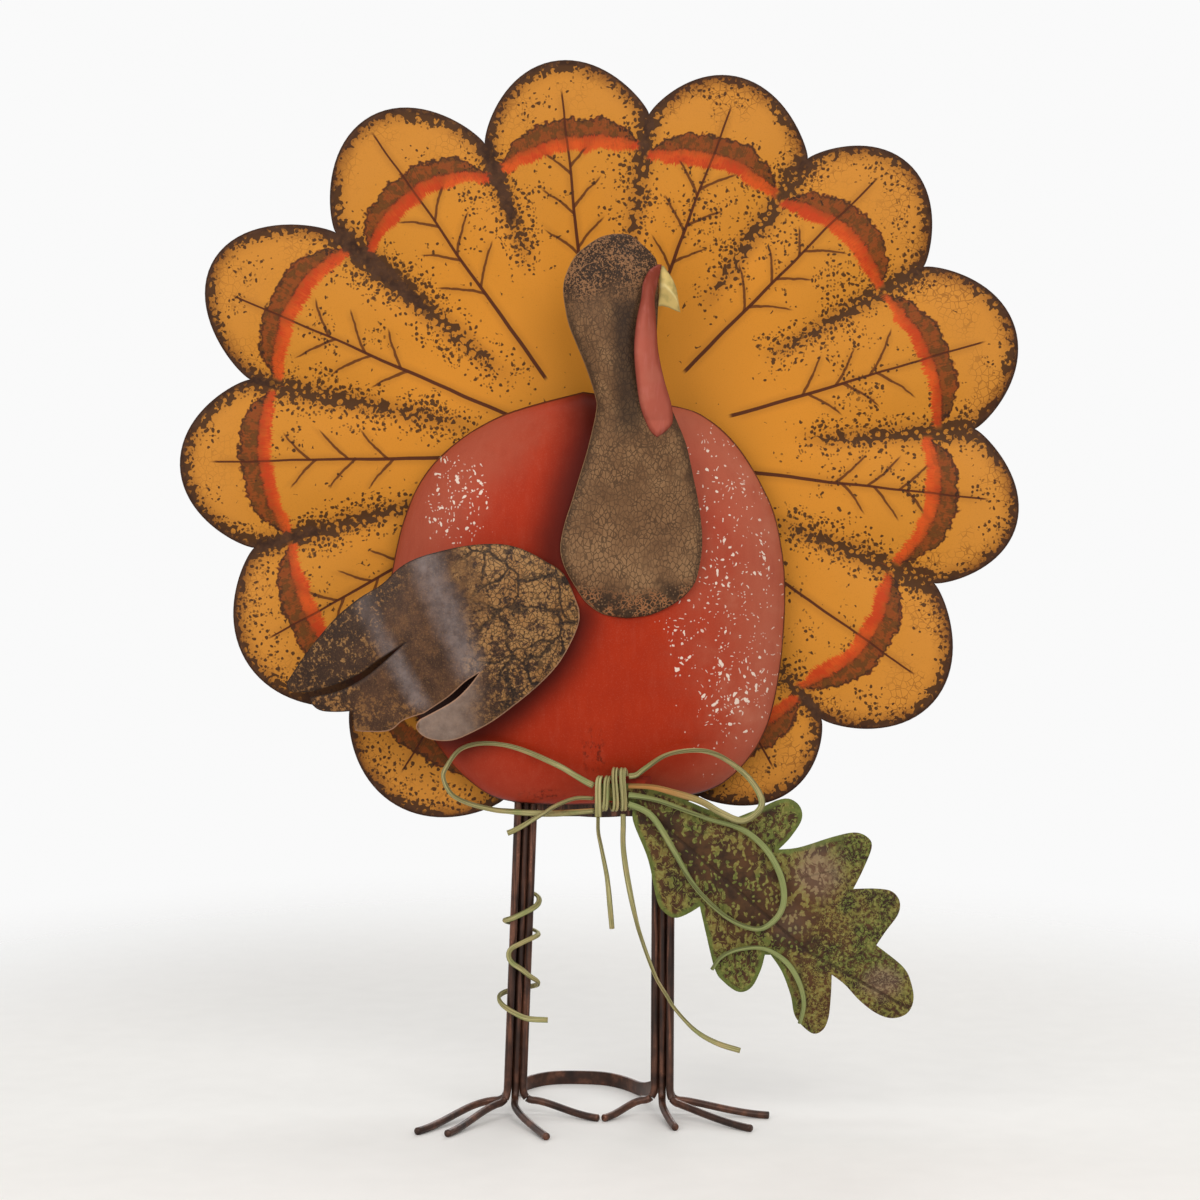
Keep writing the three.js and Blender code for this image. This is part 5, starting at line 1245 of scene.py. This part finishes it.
def leafMaterial():
    p = begin("mottledLeaf", leafValues)
    x, z, rim = field("leafPlace")
    away, along, side = field("leafPlaceMore")
    broad = noise(p, 18, 2)
    cloud = noise(p, 60, 3, 0.6)
    fine = noise(p, 420, 2, 0.5)
    worms = noise(stretched(p, 0.7), 235, 0, 0.5, 0.5)
    small = noise(p, 320, 1, 0.5, 0.3)
    dots, drawn = spots(warped(p, 120, 0.005), 190)
    lay(rise(cloud, 0.35, 0.65), "brown", "dark")
    lay(rise(broad, 0.5, 0.66) * 0.4, "rust")

    # Yellow-green mottle: thick on the near lobes, sparse dots in rows by the midrib, fine towards the tip
    far = rise(x - z * 0.3 + cloud.off * 50, 108, 150)
    outer = rise(rim + cloud.off * 26, 36, 6)
    lobes = rise(away + cloud.off * 30, 16, 40)
    cover = most(outer, lobes) * 0.05 + cloud.off * 0.14
    cover = cover - rise(away + cloud.off * 16, 15, 4) * rise(far, 0.9, 0.4) * 0.1
    bold = rise(worms * 0.8 + fine * 0.2 + cover, 0.56, 0.6)
    lines = rise(abs(worms - 0.43) - cover * 0.25, 0.022, 0.01) * rise(outer, 0.2, 0.6)
    sparse = rise(dots + fine.off * 0.4, 0.3, 0.2) * rise(drawn, 0.6, 0.64)
    slight = most(rise(small + cover, 0.56, 0.6), rise(abs(small - 0.45) - cover * 0.2, 0.022, 0.01))
    mottle = most(rise(far, 0.7, 0.3) * most(bold, lines, sparse), rise(far, 0.3, 0.7) * slight)
    tone = mix(rise(broad + cloud.off * 0.4, 0.42, 0.6), "green", "ochre")
    lay(mottle * 0.8, mix(rise(fine + cloud.off * 0.4, 0.46, 0.66), tone, "lime"))
    edge = rise(rim + cloud.off * 6 + fine.off * 2, 5.0, 2.2)
    lay(edge * rise(far, 0.9, 0.3) * 0.75, mix(cloud, "green", "moss"))

    # Rosy grey bloom on the upper right lobe and near the tip
    def bloom(*oval):
        return rise(ovalDistance(x, z, *oval) + cloud.off * 0.7, 1.1, 0.3)

    bloomed = most(bloom(186, 218, 28, 28), bloom(240, 124, 22, 18), bloom(160, 176, 22, 18) * 0.6)
    lay(bloomed * (0.24 + mottle * 0.4), "rosy")

    # Midrib and side veins
    rib = rise(away + fine.off, 1.8, 0.8)
    phase = maths("PINGPONG", along - away * 0.75 + side * 9 + 10, 17.0)
    vein = rise(phase + fine.off * 1.6, 1.4, 0.6) * rise(rim, 10, 18)
    lay(most(rib, vein * 0.4) * 0.7, "dark")
    height = mottle * 0.5 - rib - vein * 0.5 + fine * 0.2
    return finish(0.5 + cloud * 0.18, 0.08, height, 0.3, 0.02)


# Legs: bent rods in the same runs as the solids'
legValues = {
    "rod": 6.35, "weld": 6.66, "pitch": 6.65, "hip": 395, "ankle": 40, "bend": 24, "heel": 12, "turn": 11,
    "sides": 24, "weldFade": 6,
    # Where a cut end has its two rounding rings, and the share by which it is thinner
    "cut": (0.3, 0.8, 0.16),
    "hips": {"left": -59.6, "right": 55.8}, "ankles": {"left": -72.9, "right": 54},
    "bronze": (72, 46, 35), "brown": (112, 72, 54), "copper": (160, 106, 82), "black": (38, 25, 20),
}
toeReaches = {
    "left": {"outer": (-80, 78), "front": (-54, 86), "middle": (30, 97), "inner": (73, 29)},
    "right": {"outer": (92, 18), "front": (74, 67), "middle": (10, 63), "inner": (-51, 29)},
}


# Middle of a leg at a height
def legAcross(side, up):
    v = legValues
    share = (up - v["ankle"]) / (v["hip"] - v["ankle"])
    return v["ankles"][side] + (v["hips"][side] - v["ankles"][side]) * share


# A curve that leaves its first point and reaches its last one, drawn towards those between: the points
# are blended with their next neighbours, over and over, until one is left
def bezier(points, count):
    t = np.linspace(0, 1, count)[:, None]
    points = [np.asarray(p, dtype=float) * np.ones((count, 1)) for p in points]
    while len(points) > 1:
        points = [a * (1 - t) + b * t for a, b in zip(points[:-1], points[1:])]
    return points[0]


# The run of a rod: straight down the leg, bent at the ankle the way that it leaves, and out to its toe
def rodRoute(side, across, forwards, leaving, reach):
    v = legValues
    out = np.array([leaving[0], leaving[1], 0]) / math.hypot(*leaving)
    hip, bend, corner = [np.array([legAcross(side, v[key]) + across, forwards, v[key]])
                         for key in ("hip", "bend", "heel")]
    heel = corner + out * v["turn"]
    tip = np.array([legAcross(side, 0) + reach[0], reach[1], v["rod"] / 2])
    lead = heel + out * np.linalg.norm(heel - tip) / 4
    lead[2] = v["heel"] * 0.75 + v["rod"] / 2 * 0.25
    settle = heel * 0.4 + tip * 0.6
    settle[2] = v["rod"] / 2
    return np.concatenate([bezier([hip, bend], 40), bezier([bend, corner, heel], 16)[1:],
                           bezier([heel, lead, settle, tip], 40)[1:]])


def bronzeMaterial():
    p = begin("darkBronze", legValues)
    z = split(p)[2]
    cloud = noise(p, 40, 4, 0.6)
    fine = noise(p, 500, 2)
    # Lengthwise streaks on the upright rods, and soft even clouds on the toes and bars
    upright = noise(stretched(p, 0.06), 260, 3, 0.6)
    lying = noise(p, 90, 3, 0.6) * 0.55 + 0.23
    lifted = rise(z, 0.03, 0.05)
    streak = lying * (1 - lifted) + upright * lifted
    lay(rise(cloud * 0.4 + streak * 0.6, 0.36, 0.56), "bronze", "black")
    lay(rise(streak + cloud.off * 0.3, 0.48, 0.64) * 0.75, "brown")
    lay(rise(streak * 0.7 + fine * 0.3, 0.58, 0.68) * 0.45, "copper")
    return finish(0.34 + cloud * 0.16, 0.45, fine * 0.3 + streak * 0.3, 0.1, 0.05, 0.4)


def makeLegs(material):
    v = legValues
    for side, reaches in toeReaches.items():
        out = -1 if side == "left" else 1
        rods = {
            "outer": (out * v["pitch"], 0, (out, 0)),
            "middle": (0, 0, (0, 1)),
            "inner": (-out * v["pitch"], 0, (-out, 0)),
            "front": (out * v["pitch"], v["pitch"], (out, 1)),
        }
        for name, (across, forwards, leaving) in rods.items():
            route = rodRoute(side, across, forwards, leaving, reaches[name])
            run = runAlong(route)
            near, far, thinner = v["cut"]
            marks = np.sort(np.concatenate([run, [near, far, run[-1] - far, run[-1] - near]]))
            route = atMarks(route, marks)
            gap = np.minimum(marks, run[-1] - marks)
            shank = ease(clamp((route[:, 2] - v["heel"]) / v["weldFade"]))
            thick = (v["rod"] + (v["weld"] - v["rod"]) * shank) / 2
            thick = thick * (1 - thinner * np.maximum(0, 1 - gap / far))
            points, faces = tubeParts(route, thick, thick, 0.0, v["sides"], True, (leaving[1], leaving[0], 0))
            solid = f"{side}_leg_rod_{name}"
            makeObject(solid + "_round", solid, place(*points.T), faces, [material])


# Rear brace: flat bar on edge with eased corners, bent round behind the feet. Its route has a share of
# the way from the left leg to the right one, and how far back it is.
braceValues = {"reach": 120, "bar": 3, "tall": 12, "rise": 16, "left": 88, "crown": 20, "eased": 0.5}


def makeBrace(material):
    v = braceValues
    left, right = legAcross("left", v["rise"]), legAcross("right", v["rise"])
    start = legValues["rod"] / 2 + weldGap
    shares, back = np.array([
        (0, start), (0.01, v["left"] / 2), (0.04, v["left"]), (0.2, v["reach"] - v["crown"] / 4),
        (0.42, v["reach"]), (0.66, v["reach"] - v["crown"] / 2), (0.86, v["reach"] / 2 + v["crown"] / 2),
        (1, start)]).T
    path = evenCurve(table(left + (right - left) * shares, -back, 0), 3)
    ramp = v["reach"] - 2 * v["crown"]
    lift = v["rise"] * ease(clamp((ramp + path[:, 1]) / ramp))
    along = carriedFrames(path)[0]
    side = table(along[:, 1], -along[:, 0], 0)
    h, b, e = v["tall"], v["bar"] / 2, v["eased"]
    half = [(b - e, 0), (b, e), (b, h - e), (b - e, h)]
    section = np.array([(e - b, 0)] + half + [(-x, z) for x, z in half[:0:-1]])
    rings = path[:, None, :] + section[None, :, :1] * side[:, None, :]
    rings[..., 2] += section[None, :, 1] + lift[:, None]
    faces = [gridFaces(len(path), len(section), wrap=True)] + endFaces(len(path), len(section))
    makeObject("brace_bar", "rear_brace", place(*rings.reshape(-1, 3).T), faces, [material],
               smooth=False)


# Hidden fittings keep their solids and get paint or plating
fittingValues = {
    "zinc": (150, 150, 148), "bright": (192, 191, 184), "deep": (112, 30, 14), "red": (142, 40, 18),
}


def dressFittings(bronze):
    p = begin("zincPlate", fittingValues)
    cloud = noise(p, 160, 4)
    lay(cloud, "bright", "zinc")
    zinc = finish(0.3 + cloud * 0.2, 1.0, cloud, 0.05)
    p = begin("bracketRed", fittingValues)
    cloud = noise(p, 120, 2)
    lay(rise(cloud, 0.4, 0.6), "red", "deep")
    paints = {"nut": zinc, "bow_bracket": finish(0.6, 0.0, cloud, 0.05)}
    paints.update({word: bronze for word in ("spacer", "plate", "strap", "strut", "crossbar")})
    for name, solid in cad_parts.items():
        paint = next((paints[word] for word in paints if word in name), None)
        if paint is not None:
            solid.data.materials.clear()
            solid.data.materials.append(paint)


makeStage()
raffia = raffiaMaterial()
makeRaffia(raffia, makeKnot(raffia))
print("stage and raffia made")
makeFan()
print("fan made")
makeBody()
makeHead()
makeWattle()
makeBeak()
print("body and head made")
makePressed("wing_sheet", "wing", wingValues, wingShares, wingFace, wingMaterial(),
            "wingPlace")
makePressed("leaf_sheet", "oak_leaf", leafValues, leafShares, leafFace, leafMaterial(),
            "leafPlace", fromMidrib)
print("wing and leaf made")
bronze = bronzeMaterial()
makeLegs(bronze)
makeBrace(bronze)
dressFittings(bronze)
print("legs and fittings made")

bpy.context.view_layer.update()
